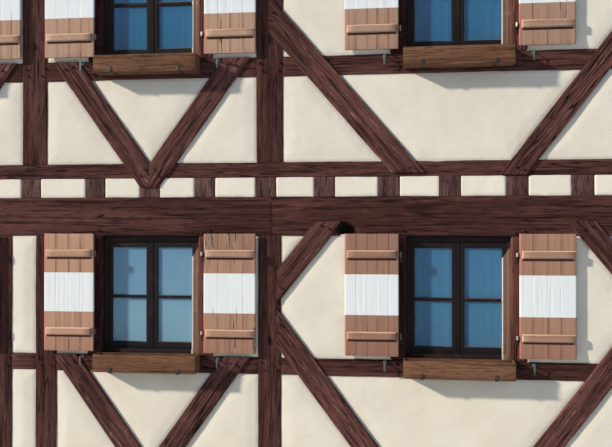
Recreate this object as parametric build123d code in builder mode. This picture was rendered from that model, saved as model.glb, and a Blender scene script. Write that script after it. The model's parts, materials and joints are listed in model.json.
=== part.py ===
from build123d import *
import os
from collections import namedtuple

# Front wall of a two-storey half-timbered house: an oak frame of three bays, plastered
# panels, six casement windows with board shutters, and flower boxes. Millimetres.
# X runs along the wall as seen from the street, Y goes into the house, and Z rises
# from the underside of the ground sill.

# Bays, from post centre to post centre
left_bay = 2340
right_bay = 3452
post_width = 250
scarf_post_width = 215
twin_right_width = 210
twin_left_width = 230
twin_right_offset = 121
twin_strip = 252
window_shift = 244
wide_window_shift = 38

# Timbers
timber_depth = 200
ground_sill_height = 200
window_rail_level = 1000
lower_rail_height = 155
upper_rail_height = 180
head_beam_height = 365
joist_height = 188
joist_width = 200
joist_tail = 450
joist_shift_at_posts = -35
left_bay_joist_shifts = (38, 0, -43)
right_bay_joist_shifts = (-52, -23, -38, -5, 0)
upper_sill_height = 138
plate_height = 240
stud_width = 150
scarf_length = 420
scarf_offset = 26
saw_gap = 2

# Braces, let into the outer face of the timbers that they cross and a little proud of it
brace_depth = 80
brace_proud = 20
v_foot_width = 255
v_slope = 0.725
v_ground_lap = 130
v_joist_lap = 84
v_toe_width = 75
k_low_start = 69
k_low_height = 348
k_low_slope = 0.755
k_high_start = 562
k_high_height = 311
k_high_slope = 0.815
k_post_lap = 35
k_head_lap = 135
k_sill_lap = 110
long_left_start = 84
long_left_height = 349
long_left_slope = 0.867
long_right_start = 96
long_right_height = 313
long_right_slope = 0.773
long_post_lap = 125
long_left_sill_lap = 104
long_right_sill_lap = 128

# Plastered panels and floor
panel_recess = 8
block_recess = 3
block_round = 24
floor_board_width = 148
floor_board_thickness = 26
floor_board_count = 3

# Windows
window_width = 950
opening_height = 1155
reveal = 60
frame_depth = 70
frame_jamb = 24
frame_head = 45
frame_lip = 10
frame_lip_depth = 15
casement_depth = 45
outer_stile = 50
meeting_stile = 57
casement_top_rail = 71
casement_bottom_rail = 80
glazing_bar_height = 31
glazing_bar_rise = 545
glass_thickness = 4
glass_inset = 20

# Shutters and their ironwork
pintle_offset = 50
hinge_to_leaf = 20
meeting_gap = 10
leaf_rise = 40
leaf_over = 18
leaf_standoff = 30
board_thickness = 25
boards_per_leaf = 4
board_groove = 5
batten_height = 74
batten_thickness = 25
batten_inset = 190
batten_hinge_end = 35
batten_free_end = 25
strap_length = 350
strap_height = 34
strap_thickness = 6
knuckle_radius = 11
pin_radius = 6
pin_clearance = 0.5
seat_clearance = 0.3
arm_height = 16
pin_over = 8
plate_width = 36
plate_length = 104
plate_thickness = 4
catch_offset = 675
catch_drop = 60
catch_rosette = 17
catch_spindle = 6
catch_reach = 60
catch_arm_length = 90
catch_arm_width = 16
catch_arm_thickness = 8

# Flower boxes
box_width = 1000
box_depth = 190
box_height = 165
box_wall = 18
box_top_drop = 15
bracket_width = 30
bracket_iron = 6
bracket_leg = 150
bracket_lip = 45
bracket_offset = 330

# Heights worked out from the timbers
Storey = namedtuple("Storey", "name sill_top rail_bottom rail_top top")


def storey(name, sill_top, rail_height):
    """The heights of a storey whose posts stand on a sill with this top."""
    rail_top = sill_top + window_rail_level
    return Storey(name, sill_top, rail_top - rail_height, rail_top, rail_top + opening_height)


lower = storey("lower", ground_sill_height, lower_rail_height)
joist_bottom = lower.top + head_beam_height
joist_top = joist_bottom + joist_height
upper = storey("upper", joist_top + upper_sill_height, upper_rail_height)
wall_top = upper.top + plate_height

# Places along the wall
wall_length = 2 * left_bay + right_bay + post_width
wall_left = -wall_length / 2
wall_right = wall_length / 2
corner_left = wall_left + post_width / 2
post_left = corner_left + left_bay
post_middle = post_left + left_bay
corner_right = wall_right - post_width / 2
twin_right_x = post_left + twin_right_offset
twin_left_x = twin_right_x - twin_right_width / 2 - twin_strip - twin_left_width / 2
wall_face = timber_depth / 2

lower_uprights = [
    (corner_left, post_width),
    (twin_left_x, twin_left_width),
    (twin_right_x, twin_right_width),
    (post_middle, scarf_post_width),
    (corner_right, post_width),
]
upper_uprights = [(x, post_width) for x in (corner_left, post_left, post_middle, corner_right)]

Bay = namedtuple("Bay", "place left right window_x")


def bay(place, left_post, right_post, window_x):
    """The clear space between two posts, each given as centre and width."""
    left = left_post[0] + left_post[1] / 2
    right = right_post[0] - right_post[1] / 2
    return Bay(place, left, right, window_x)


left_window = (corner_left + post_left) / 2
middle_window = (post_left + post_middle) / 2
right_window = (post_middle + corner_right) / 2 + wide_window_shift
lower_bays = [
    bay("left", lower_uprights[0], lower_uprights[1], left_window - window_shift),
    bay("middle", lower_uprights[2], lower_uprights[3], middle_window),
    bay("right", lower_uprights[3], lower_uprights[4], right_window),
]
upper_bays = [
    bay("left", upper_uprights[0], upper_uprights[1], left_window),
    bay("middle", upper_uprights[1], upper_uprights[2], middle_window),
    bay("right", upper_uprights[2], upper_uprights[3], right_window),
]
storeys = [(lower, lower_bays), (upper, upper_bays)]
strip_left = twin_left_x + twin_left_width / 2
strip_right = twin_right_x - twin_right_width / 2

brace_plane = Plane.XZ.offset(wall_face + brace_proud)
brace_thickness = brace_depth + brace_proud
os.makedirs("parts", exist_ok=True)


def face_block(left, right, bottom, top):
    """A timber of the wall's full depth, given by its outline on the outer face."""
    with Locations(((left + right) / 2, 0, (bottom + top) / 2)):
        Box(right - left, timber_depth, top - bottom)


def finish(piece, node):
    """Label a finished sub-part and write it under its own name."""
    piece.part.label = node
    export_step(piece.part, f"parts/{node}.step")


def v_brace(one_bay, side, sill_top, rail_top, foot):
    """One leg of a V below a window, mitred against the other leg on the centre line.
    foot lists the drop below the sill's top and the width left there. The leg ends
    on the rail, or at the post where the bay is too narrow for it."""
    inner = one_bay.window_x + side * saw_gap / 2
    outer = one_bay.window_x + side * v_foot_width
    run = side * v_slope * (rail_top - sill_top)
    toes = [(one_bay.window_x + side * width, sill_top - drop) for drop, width in reversed(foot)]
    last_drop = foot[-1][0]
    with BuildSketch(brace_plane) as leg:
        with BuildLine():
            Polyline(
                (inner, sill_top - last_drop), *toes, (outer, sill_top),
                (outer + run, rail_top), (inner + run, rail_top), (inner, sill_top),
                close=True,
            )
        make_face()
        with Locations(((one_bay.left + one_bay.right) / 2, rail_top / 2)):
            Rectangle(one_bay.right - one_bay.left, rail_top, mode=Mode.INTERSECT)
    extrude(leg.sketch, amount=-brace_thickness)


def straight_brace(face_x, side, start, height, slope, rise, end, lap):
    """A brace that leaves a post's face from start up to start + height. It runs slope
    sideways for each unit of height, up or down with rise 1 or -1, to a level cut at
    end, and its upper corner laps onto the post by lap."""
    back = rise * lap / slope
    with BuildSketch(brace_plane) as bar:
        with BuildLine():
            Polyline(
                (face_x - side * lap, start - back),
                (face_x + side * slope * abs(end - start), end),
                (face_x + side * slope * abs(end - start - height), end),
                (face_x - side * lap, start + height - back),
                close=True,
            )
        make_face()
    extrude(bar.sketch, amount=-brace_thickness)


# Braces first, because every timber that they cross is cut to take them
ground_foot = [(v_ground_lap, v_foot_width - v_slope * v_ground_lap)]
joist_foot = [(upper_sill_height, joist_width / 2), (upper_sill_height + v_joist_lap, v_toe_width)]

with BuildPart() as lower_v_braces:
    for one_bay in lower_bays[:2]:
        for side in (-1, 1):
            v_brace(one_bay, side, lower.sill_top, lower.rail_top, ground_foot)
finish(lower_v_braces, "lower_v_braces")

with BuildPart() as upper_v_braces:
    for one_bay in upper_bays[:2]:
        for side in (-1, 1):
            v_brace(one_bay, side, upper.sill_top, upper.rail_top, joist_foot)
finish(upper_v_braces, "upper_v_braces")

# The lower wide bay has two braces at each post, which form a K with it
with BuildPart() as lower_k_braces:
    for face_x, side in ((lower_bays[2].left, 1), (lower_bays[2].right, -1)):
        straight_brace(
            face_x, side, lower.rail_top + k_low_start, k_low_height,
            k_low_slope, -1, lower.sill_top - k_sill_lap, k_post_lap,
        )
        straight_brace(
            face_x, side, lower.rail_top + k_high_start, k_high_height,
            k_high_slope, 1, lower.top + k_head_lap, k_post_lap,
        )
finish(lower_k_braces, "lower_k_braces")

with BuildPart() as upper_long_braces:
    straight_brace(
        upper_bays[2].left, 1, upper.rail_top + long_left_start, long_left_height,
        long_left_slope, -1, upper.sill_top - long_left_sill_lap, long_post_lap,
    )
    straight_brace(
        upper_bays[2].right, -1, upper.rail_top + long_right_start, long_right_height,
        long_right_slope, -1, upper.sill_top - long_right_sill_lap, long_post_lap,
    )
finish(upper_long_braces, "upper_long_braces")

# Ground storey timbers
with BuildPart() as ground_sill:
    face_block(wall_left, wall_right, 0, lower.sill_top)
    add(lower_v_braces.part, mode=Mode.SUBTRACT)
    add(lower_k_braces.part, mode=Mode.SUBTRACT)
finish(ground_sill, "ground_sill")

with BuildPart() as lower_posts:
    for x, width in lower_uprights:
        face_block(x - width / 2, x + width / 2, lower.sill_top, lower.top)
    add(lower_k_braces.part, mode=Mode.SUBTRACT)
finish(lower_posts, "lower_posts")

with BuildPart() as lower_rails:
    for one_bay in lower_bays:
        face_block(one_bay.left, one_bay.right, lower.rail_bottom, lower.rail_top)
    face_block(strip_left, strip_right, lower.rail_bottom, lower.rail_top)
    add(lower_v_braces.part, mode=Mode.SUBTRACT)
    add(lower_k_braces.part, mode=Mode.SUBTRACT)
finish(lower_rails, "lower_rails")


def stud_pair(window_x, bottom, top):
    """The two studs that stand beside a window on the rail."""
    for side in (-1, 1):
        x = window_x + side * (window_width + stud_width) / 2
        face_block(x - stud_width / 2, x + stud_width / 2, bottom, top)


with BuildPart() as lower_window_studs:
    for one_bay in lower_bays:
        stud_pair(one_bay.window_x, lower.rail_top, lower.top)
finish(lower_window_studs, "lower_window_studs")

# The head beam comes in two lengths, halved into each other over the middle post
scarf_x = post_middle + scarf_offset
scarf_foot = scarf_x - scarf_length
with BuildPart() as head_beam_left:
    with BuildSketch(Plane.XY.offset(lower.top)):
        with BuildLine():
            Polyline(
                (wall_left, -wall_face), (scarf_x, -wall_face), (scarf_x, 0),
                (scarf_foot, 0), (scarf_foot, wall_face), (wall_left, wall_face),
                close=True,
            )
        make_face()
    extrude(amount=head_beam_height)
finish(head_beam_left, "head_beam_left")

with BuildPart() as head_beam_right:
    with BuildSketch(Plane.XY.offset(lower.top)):
        with BuildLine():
            Polyline(
                (wall_right, -wall_face), (scarf_x, -wall_face), (scarf_x, 0),
                (scarf_foot, 0), (scarf_foot, wall_face), (wall_right, wall_face),
                close=True,
            )
        make_face()
    extrude(amount=head_beam_height)
    add(lower_k_braces.part, mode=Mode.SUBTRACT)
finish(head_beam_right, "head_beam_right")

# Floor between the storeys: joists on the head beam, with plastered blocks between
joist_left = wall_left + joist_width / 2
joist_right = wall_right - joist_width / 2
joist_stops = [
    (corner_left, post_left, left_bay_joist_shifts),
    (post_left, post_middle, left_bay_joist_shifts),
    (post_middle, corner_right, right_bay_joist_shifts),
]
joist_x = [joist_left]
for start, stop, shifts in joist_stops:
    shifts += (joist_shift_at_posts,)
    for i, shift in enumerate(shifts, 1):
        joist_x.append(start + (stop - start) * i / len(shifts) + shift)
joist_x[-1] = joist_right

with BuildPart() as floor_joists:
    for x in joist_x:
        with Locations((x, joist_tail / 2, joist_bottom + joist_height / 2)):
            Box(joist_width, timber_depth + joist_tail, joist_height)
    add(upper_v_braces.part, mode=Mode.SUBTRACT)
finish(floor_joists, "floor_joists")

with BuildPart() as joist_infill:
    for left, right in zip(joist_x[:-1], joist_x[1:]):
        block_depth = timber_depth - block_recess
        with Locations(((left + right) / 2, block_recess / 2, joist_bottom + joist_height / 2)):
            Box(right - left - joist_width, block_depth, joist_height)
    front_edges = joist_infill.edges().group_by(Axis.Y)[0]
    fillet(front_edges, radius=block_round)
finish(joist_infill, "joist_infill")

with BuildPart() as floor_boards:
    for i in range(floor_board_count):
        y = wall_face + i * joist_tail / floor_board_count + floor_board_width / 2
        with Locations((0, y, joist_top + floor_board_thickness / 2)):
            Box(wall_length, floor_board_width, floor_board_thickness)
finish(floor_boards, "floor_boards")

# Upper storey timbers
with BuildPart() as upper_sill:
    face_block(wall_left, wall_right, joist_top, upper.sill_top)
    add(upper_v_braces.part, mode=Mode.SUBTRACT)
    add(upper_long_braces.part, mode=Mode.SUBTRACT)
finish(upper_sill, "upper_sill")

with BuildPart() as upper_posts:
    for x, width in upper_uprights:
        face_block(x - width / 2, x + width / 2, upper.sill_top, upper.top)
    add(upper_long_braces.part, mode=Mode.SUBTRACT)
finish(upper_posts, "upper_posts")

with BuildPart() as upper_rails:
    for one_bay in upper_bays:
        face_block(one_bay.left, one_bay.right, upper.rail_bottom, upper.rail_top)
    add(upper_v_braces.part, mode=Mode.SUBTRACT)
    add(upper_long_braces.part, mode=Mode.SUBTRACT)
finish(upper_rails, "upper_rails")

with BuildPart() as upper_window_studs:
    for one_bay in upper_bays:
        stud_pair(one_bay.window_x, upper.rail_top, upper.top)
finish(upper_window_studs, "upper_window_studs")

with BuildPart() as top_plate:
    face_block(wall_left, wall_right, upper.top, wall_top)
finish(top_plate, "top_plate")


# Plastered panels between the timbers, cut back where a brace crosses them
def panel(left, right, bottom, top):
    """One plastered panel, set back from the outer face of the timbers."""
    depth = timber_depth - panel_recess
    with Locations(((left + right) / 2, panel_recess / 2, (bottom + top) / 2)):
        Box(right - left, depth, top - bottom)


def bay_panels(level, one_bay):
    """The panel below the rail and the two beside the window of one bay."""
    window_side = window_width / 2 + stud_width
    panel(one_bay.left, one_bay.right, level.sill_top, level.rail_bottom)
    panel(one_bay.left, one_bay.window_x - window_side, level.rail_top, level.top)
    panel(one_bay.window_x + window_side, one_bay.right, level.rail_top, level.top)


with BuildPart() as lower_panels:
    for one_bay in lower_bays:
        bay_panels(lower, one_bay)
    panel(strip_left, strip_right, lower.sill_top, lower.rail_bottom)
    panel(strip_left, strip_right, lower.rail_top, lower.top)
    add(lower_v_braces.part, mode=Mode.SUBTRACT)
    add(lower_k_braces.part, mode=Mode.SUBTRACT)
finish(lower_panels, "lower_panels")

with BuildPart() as upper_panels:
    for one_bay in upper_bays:
        bay_panels(upper, one_bay)
    add(upper_v_braces.part, mode=Mode.SUBTRACT)
    add(upper_long_braces.part, mode=Mode.SUBTRACT)
finish(upper_panels, "upper_panels")

# Windows: a fixed frame, two casements behind its lip, and four panes
frame_front = wall_face - reveal
casement_front = frame_front - frame_lip_depth
sash_width = window_width - 2 * frame_jamb
sash_height = opening_height - 2 * frame_head
casement_width = (sash_width - saw_gap) / 2
light_width = casement_width - outer_stile - meeting_stile
light_height = sash_height - casement_top_rail - casement_bottom_rail
light_bottom = frame_head + casement_bottom_rail
lower_light_height = glazing_bar_rise - light_bottom
upper_light_height = light_height - lower_light_height - glazing_bar_height


def light_centres(window_x, rail_top):
    """Centre of each of a window's four lights on its face, with the light's height."""
    lower_z = rail_top + light_bottom + lower_light_height / 2
    upper_z = rail_top + glazing_bar_rise + glazing_bar_height + upper_light_height / 2
    offset = saw_gap / 2 + meeting_stile + light_width / 2
    for side in (-1, 1):
        yield (window_x + side * offset, lower_z), lower_light_height
        yield (window_x + side * offset, upper_z), upper_light_height


for level, bays in storeys:
    middle_z = level.rail_top + opening_height / 2

    with BuildPart() as window_frames:
        for one_bay in bays:
            with BuildSketch(Plane.XZ.offset(frame_front)):
                with Locations((one_bay.window_x, middle_z)):
                    Rectangle(window_width, opening_height)
                    Rectangle(sash_width, sash_height, mode=Mode.SUBTRACT)
        extrude(amount=-frame_depth)
        for one_bay in bays:
            with BuildSketch(Plane.XZ.offset(frame_front)):
                with Locations((one_bay.window_x, middle_z)):
                    Rectangle(sash_width, sash_height)
                    Rectangle(
                        sash_width - 2 * frame_lip, sash_height - 2 * frame_lip,
                        mode=Mode.SUBTRACT,
                    )
        extrude(amount=-frame_lip_depth)
    finish(window_frames, f"{level.name}_window_frames")

    with BuildPart() as casements:
        for one_bay in bays:
            for side in (-1, 1):
                x = one_bay.window_x + side * (saw_gap + casement_width) / 2
                with BuildSketch(Plane.XZ.offset(casement_front)):
                    with Locations((x, middle_z)):
                        Rectangle(casement_width, sash_height)
        extrude(amount=-casement_depth)
        for one_bay in bays:
            for centre, height in light_centres(one_bay.window_x, level.rail_top):
                with BuildSketch(Plane.XZ.offset(casement_front)):
                    with Locations(centre):
                        Rectangle(light_width, height)
        extrude(amount=-casement_depth, mode=Mode.SUBTRACT)
    finish(casements, f"{level.name}_casements")

    with BuildPart() as glass:
        for one_bay in bays:
            for centre, height in light_centres(one_bay.window_x, level.rail_top):
                with BuildSketch(Plane.XZ.offset(casement_front - glass_inset)):
                    with Locations(centre):
                        Rectangle(light_width, height)
        extrude(amount=-glass_thickness)
    finish(glass, f"{level.name}_glass")

# Shutters: boards on two battens, hung by two strap hinges from pintles on the studs
hinge_x = window_width / 2 + pintle_offset
hinge_y = -(wall_face + leaf_standoff + board_thickness)
leaf_width = hinge_x - hinge_to_leaf - meeting_gap / 2
leaf_height = opening_height - leaf_rise + leaf_over
strap_levels = (batten_inset, leaf_height - batten_inset)
strap_back = board_thickness + strap_thickness
knuckle_overlap = 0.7 * knuckle_radius


def leaf_boards(side):
    """Boards of an open leaf with its hinge axis at x = y = 0 and its foot at z = 0."""
    with Locations((side * (hinge_to_leaf + leaf_width / 2), board_thickness / 2, leaf_height / 2)):
        Box(leaf_width, board_thickness, leaf_height)
    for i in range(1, boards_per_leaf):
        x = side * (hinge_to_leaf + leaf_width * i / boards_per_leaf)
        for y in (0, board_thickness):
            with Locations((x, y, leaf_height / 2)):
                Box(board_groove, board_groove, leaf_height, rotation=(0, 0, 45), mode=Mode.SUBTRACT)


def leaf_battens(side):
    """Two battens across the street side of the open leaf."""
    near = hinge_to_leaf + batten_hinge_end
    far = hinge_to_leaf + leaf_width - batten_free_end
    for z in strap_levels:
        with Locations((side * (near + far) / 2, -batten_thickness / 2, z)):
            Box(far - near, batten_thickness, batten_height)


for level, bays in storeys:
    for one_bay in bays:
        for side, side_name in ((-1, "left"), (1, "right")):
            foot = (one_bay.window_x + side * hinge_x, hinge_y, level.rail_top + leaf_rise)
            with BuildPart(Plane(origin=foot)) as shutter:
                leaf_boards(side)
                leaf_battens(side)
                for z in strap_levels:
                    with BuildSketch(Plane(origin=foot).offset(z - strap_height / 2)):
                        Circle(knuckle_radius)
                        with BuildLine():
                            Polyline(
                                (0, knuckle_radius - 1),
                                (side * (hinge_to_leaf - strap_thickness - 1), strap_back),
                                (side * strap_length, strap_back),
                                (side * strap_length, board_thickness),
                                (side * (hinge_to_leaf - strap_thickness / 2), board_thickness),
                                (side * knuckle_overlap, knuckle_overlap),
                                close=True,
                            )
                        make_face()
                        Circle(pin_radius + pin_clearance, mode=Mode.SUBTRACT)
                extrude(amount=strap_height)
            finish(shutter, f"{level.name}_{one_bay.place}_shutter_{side_name}")

for level, bays in storeys:
    leaf_foot = level.rail_top + leaf_rise
    hinges = [
        (one_bay.window_x + side * hinge_x, leaf_foot + z)
        for one_bay in bays
        for side in (-1, 1)
        for z in strap_levels
    ]
    arm_top = -strap_height / 2 - seat_clearance
    arm_reach = -hinge_y - wall_face

    with BuildPart() as pintles:
        for x, z in hinges:
            with Locations((x, -wall_face - plate_thickness / 2, z + arm_top - arm_height / 2)):
                Box(plate_width, plate_thickness, plate_length)
            with Locations((x, hinge_y + arm_reach / 2, z + arm_top - arm_height / 2)):
                Box(arm_height, arm_reach, arm_height)
            with Locations((x, hinge_y, z + arm_top - arm_height / 2)):
                Cylinder(arm_height / 2, arm_height)
            pin_length = strap_height + seat_clearance + pin_over
            with Locations((x, hinge_y, z + arm_top + pin_length / 2)):
                Cylinder(pin_radius, pin_length)
    finish(pintles, f"{level.name}_pintles")

    with BuildPart() as catches:
        for one_bay in bays:
            for side in (-1, 1):
                x = one_bay.window_x + side * catch_offset
                z = leaf_foot - catch_drop
                with BuildSketch(Plane.XZ.offset(wall_face)):
                    with Locations((x, z)):
                        Circle(catch_rosette)
                extrude(amount=plate_thickness)
                with BuildSketch(Plane.XZ.offset(wall_face)):
                    with Locations((x, z)):
                        Circle(catch_spindle)
                extrude(amount=catch_reach)
                with BuildSketch(Plane.XZ.offset(wall_face + catch_reach)):
                    with Locations((x, z - catch_arm_length / 2 + catch_arm_width / 2)):
                        SlotOverall(catch_arm_length, catch_arm_width, rotation=90)
                extrude(amount=catch_arm_thickness)
    finish(catches, f"{level.name}_shutter_catches")

    # Flower boxes in front of the rails, each on two flat irons
    box_top = leaf_foot - box_top_drop
    box_bottom = box_top - box_height
    box_back = -(wall_face + bracket_iron)
    box_front = box_back - box_depth

    with BuildPart() as flower_boxes:
        for one_bay in bays:
            x = one_bay.window_x
            with Locations((x, box_back - box_depth / 2, box_bottom + box_height / 2)):
                Box(box_width, box_depth, box_height)
            with Locations((x, box_back - box_depth / 2, box_top)):
                Box(
                    box_width - 2 * box_wall, box_depth - 2 * box_wall,
                    2 * (box_height - box_wall), mode=Mode.SUBTRACT,
                )
    finish(flower_boxes, f"{level.name}_flower_boxes")

    with BuildPart() as brackets:
        for one_bay in bays:
            for side in (-1, 1):
                x = one_bay.window_x + side * bracket_offset
                with BuildSketch(Plane.YZ.offset(x - bracket_width / 2)):
                    with BuildLine():
                        Polyline(
                            (-wall_face, box_bottom + bracket_leg),
                            (-wall_face, box_bottom - bracket_iron),
                            (box_front - bracket_iron, box_bottom - bracket_iron),
                            (box_front - bracket_iron, box_bottom + bracket_lip),
                            (box_front, box_bottom + bracket_lip),
                            (box_front, box_bottom),
                            (box_back, box_bottom),
                            (box_back, box_bottom + bracket_leg),
                            close=True,
                        )
                    make_face()
        extrude(amount=bracket_width)
    finish(brackets, f"{level.name}_box_brackets")
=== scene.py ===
# %% [markdown]
# # The front of a half-timbered house
# The packed model holds the frame of the house front at its real size. This lesson gives it
# the looks of an old house: hewn oak, trowelled plaster, painted shutters, glass and iron.
# Every length is in metres. X runs along the wall, Y goes into the house and Z is up.

import json
import math

import bmesh
import bpy
import numpy as np
from mathutils import Matrix, Vector
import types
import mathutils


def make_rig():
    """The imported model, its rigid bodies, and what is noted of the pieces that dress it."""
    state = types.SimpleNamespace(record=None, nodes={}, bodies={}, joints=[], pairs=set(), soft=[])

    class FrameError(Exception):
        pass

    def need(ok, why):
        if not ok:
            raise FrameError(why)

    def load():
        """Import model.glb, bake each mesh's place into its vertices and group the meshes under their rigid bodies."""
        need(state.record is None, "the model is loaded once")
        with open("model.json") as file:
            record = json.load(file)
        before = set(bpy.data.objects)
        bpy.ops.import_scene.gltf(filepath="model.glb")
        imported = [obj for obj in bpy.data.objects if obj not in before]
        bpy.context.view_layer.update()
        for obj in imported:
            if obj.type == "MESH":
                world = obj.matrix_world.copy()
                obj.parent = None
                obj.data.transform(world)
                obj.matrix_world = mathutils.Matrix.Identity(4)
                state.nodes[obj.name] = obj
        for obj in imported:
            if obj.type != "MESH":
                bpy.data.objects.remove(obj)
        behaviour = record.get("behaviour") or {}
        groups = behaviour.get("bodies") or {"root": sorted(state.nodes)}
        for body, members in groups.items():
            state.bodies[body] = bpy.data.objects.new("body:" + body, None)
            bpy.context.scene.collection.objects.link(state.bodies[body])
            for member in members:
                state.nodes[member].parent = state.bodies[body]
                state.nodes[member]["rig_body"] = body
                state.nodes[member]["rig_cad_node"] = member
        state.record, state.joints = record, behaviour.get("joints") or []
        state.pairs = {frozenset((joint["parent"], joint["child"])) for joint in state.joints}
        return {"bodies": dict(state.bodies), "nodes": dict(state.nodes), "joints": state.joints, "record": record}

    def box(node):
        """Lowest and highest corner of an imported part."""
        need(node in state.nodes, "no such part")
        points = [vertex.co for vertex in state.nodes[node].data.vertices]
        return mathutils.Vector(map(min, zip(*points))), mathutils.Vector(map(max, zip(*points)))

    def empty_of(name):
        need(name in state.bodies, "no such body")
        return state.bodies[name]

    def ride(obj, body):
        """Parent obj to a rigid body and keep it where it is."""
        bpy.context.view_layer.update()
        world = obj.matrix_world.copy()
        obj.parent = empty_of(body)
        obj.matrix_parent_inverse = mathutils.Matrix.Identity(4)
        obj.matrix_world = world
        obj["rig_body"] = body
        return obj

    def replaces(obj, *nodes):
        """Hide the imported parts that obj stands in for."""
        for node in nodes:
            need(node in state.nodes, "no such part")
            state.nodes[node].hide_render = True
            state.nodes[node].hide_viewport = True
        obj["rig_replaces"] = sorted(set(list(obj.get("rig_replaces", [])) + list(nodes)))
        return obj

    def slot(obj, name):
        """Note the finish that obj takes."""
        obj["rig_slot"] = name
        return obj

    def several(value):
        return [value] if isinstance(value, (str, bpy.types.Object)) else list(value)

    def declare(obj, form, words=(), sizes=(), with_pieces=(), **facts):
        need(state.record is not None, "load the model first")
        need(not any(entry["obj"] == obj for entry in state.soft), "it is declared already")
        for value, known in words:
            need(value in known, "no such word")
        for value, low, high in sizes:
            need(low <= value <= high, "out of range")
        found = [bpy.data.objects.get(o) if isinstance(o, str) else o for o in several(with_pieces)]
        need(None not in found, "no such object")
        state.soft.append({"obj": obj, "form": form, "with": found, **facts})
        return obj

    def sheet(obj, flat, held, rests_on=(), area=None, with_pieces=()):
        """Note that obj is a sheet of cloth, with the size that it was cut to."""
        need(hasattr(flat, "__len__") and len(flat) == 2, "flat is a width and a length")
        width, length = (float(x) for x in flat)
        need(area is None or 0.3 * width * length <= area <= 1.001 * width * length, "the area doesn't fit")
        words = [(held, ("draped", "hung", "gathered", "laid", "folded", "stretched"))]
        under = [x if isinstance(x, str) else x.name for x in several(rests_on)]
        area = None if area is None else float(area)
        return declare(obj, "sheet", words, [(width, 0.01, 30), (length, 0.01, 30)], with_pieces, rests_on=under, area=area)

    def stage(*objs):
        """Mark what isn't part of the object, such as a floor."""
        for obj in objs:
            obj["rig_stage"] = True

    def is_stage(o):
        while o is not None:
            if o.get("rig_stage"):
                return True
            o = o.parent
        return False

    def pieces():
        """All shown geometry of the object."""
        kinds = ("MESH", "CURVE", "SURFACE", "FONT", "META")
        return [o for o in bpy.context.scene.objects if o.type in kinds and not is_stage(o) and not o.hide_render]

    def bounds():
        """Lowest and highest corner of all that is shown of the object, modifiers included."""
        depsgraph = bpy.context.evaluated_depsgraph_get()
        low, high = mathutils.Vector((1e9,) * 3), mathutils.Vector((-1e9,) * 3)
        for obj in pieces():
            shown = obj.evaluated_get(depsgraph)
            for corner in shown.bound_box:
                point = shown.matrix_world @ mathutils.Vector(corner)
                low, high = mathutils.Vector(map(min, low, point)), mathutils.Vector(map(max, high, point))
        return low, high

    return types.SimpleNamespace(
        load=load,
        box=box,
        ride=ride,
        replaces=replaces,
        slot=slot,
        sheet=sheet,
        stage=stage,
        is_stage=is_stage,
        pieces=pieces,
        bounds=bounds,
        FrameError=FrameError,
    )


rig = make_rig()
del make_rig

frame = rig.load()
cad_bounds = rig.bounds()
print("nodes", len(frame["nodes"]), "bodies", len(frame["bodies"]))

# %% [markdown]
# ## Camera
# The picture was taken from the street, a little to the right, and at the height of the beam
# between the storeys. A camera that stands where the photographer stood shows the wall's right
# end larger than its left. Only its place, its turn and its lens are needed, and no shift.

# %% Camera
IMAGE_WIDTH = 612
IMAGE_HEIGHT = 447
FOCAL_PIXELS = 900
HORIZON_ROW = 230
EYE_HEIGHT = 2.408
AIM_X = 0.963
AIM_DISTANCE = 8.473
CAMERA_YAW = math.radians(7.69)

outer_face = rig.box("upper_sill")[0].y
pitch = math.atan((HORIZON_ROW - IMAGE_HEIGHT / 2) / FOCAL_PIXELS)
look = Vector((-math.sin(CAMERA_YAW), math.cos(CAMERA_YAW), 0))
camera_data = bpy.data.cameras.new("camera")
camera_data.lens = FOCAL_PIXELS * camera_data.sensor_width / IMAGE_WIDTH
camera = bpy.data.objects.new("camera", camera_data)
camera.location = Vector((AIM_X, outer_face, EYE_HEIGHT)) - look * AIM_DISTANCE
look.z = math.tan(pitch)
camera.rotation_euler = look.to_track_quat("-Z", "Y").to_euler()
bpy.context.scene.collection.objects.link(camera)
bpy.context.scene.camera = camera
print("lens", round(camera_data.lens, 1), "at", [round(v, 2) for v in camera.location])

# %% [markdown]
# ## Light
# One lamp shines from the upper left, almost along the wall, as the sun does in the picture, so
# every board and batten throws a long shadow. It is wide enough to soften them a little. The
# world fills in the rest, so that a colour renders about as written.

# %% Lamp
KEY_FROM = Vector((-0.82, -0.40, 0.41))
KEY_STRENGTH = 4.9
KEY_COLOUR = (1.0, 0.89, 0.73)
KEY_SPREAD = math.radians(3)

scene = bpy.context.scene
scene.view_settings.view_transform = "Standard"

key_data = bpy.data.lights.new("key", "SUN")
key_data.energy = KEY_STRENGTH
key_data.color = KEY_COLOUR
key_data.angle = KEY_SPREAD
key = bpy.data.objects.new("key", key_data)
key.rotation_euler = (-KEY_FROM).to_track_quat("-Z", "Y").to_euler()
scene.collection.objects.link(key)
print("lamp", KEY_STRENGTH, "from", [round(part, 2) for part in KEY_FROM])

# %% [markdown]
# ## A shorthand for nodes
# Both the shapes and the finishes are made of nodes. Written out in full, each node takes many
# lines, so small classes stand in for them. The first is one output of a node. It can be added,
# multiplied and so on, and every sign adds the node that works it out.

# %% Values
def arithmetic(operation, swapped=False):
    """A method that works out one sign between a node's output and another value."""
    def method(value, *others):
        values = (*others, value) if swapped else (value, *others)
        vectors = any(isinstance(v, tuple) or getattr(v, "is_vector", False) for v in values)
        return (value.graph.vector if vectors else value.graph.math)(operation, *values)

    return method


class Value:
    """One output of a node."""

    def __init__(self, graph, socket):
        self.graph, self.socket = graph, socket
        self.is_vector = socket.type == "VECTOR"

    __abs__ = arithmetic("ABSOLUTE")
    __add__ = arithmetic("ADD")
    __sub__ = arithmetic("SUBTRACT")
    __rsub__ = arithmetic("SUBTRACT", swapped=True)
    __mul__ = arithmetic("MULTIPLY")
    __truediv__ = arithmetic("DIVIDE")
    __rtruediv__ = arithmetic("DIVIDE", swapped=True)


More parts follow.
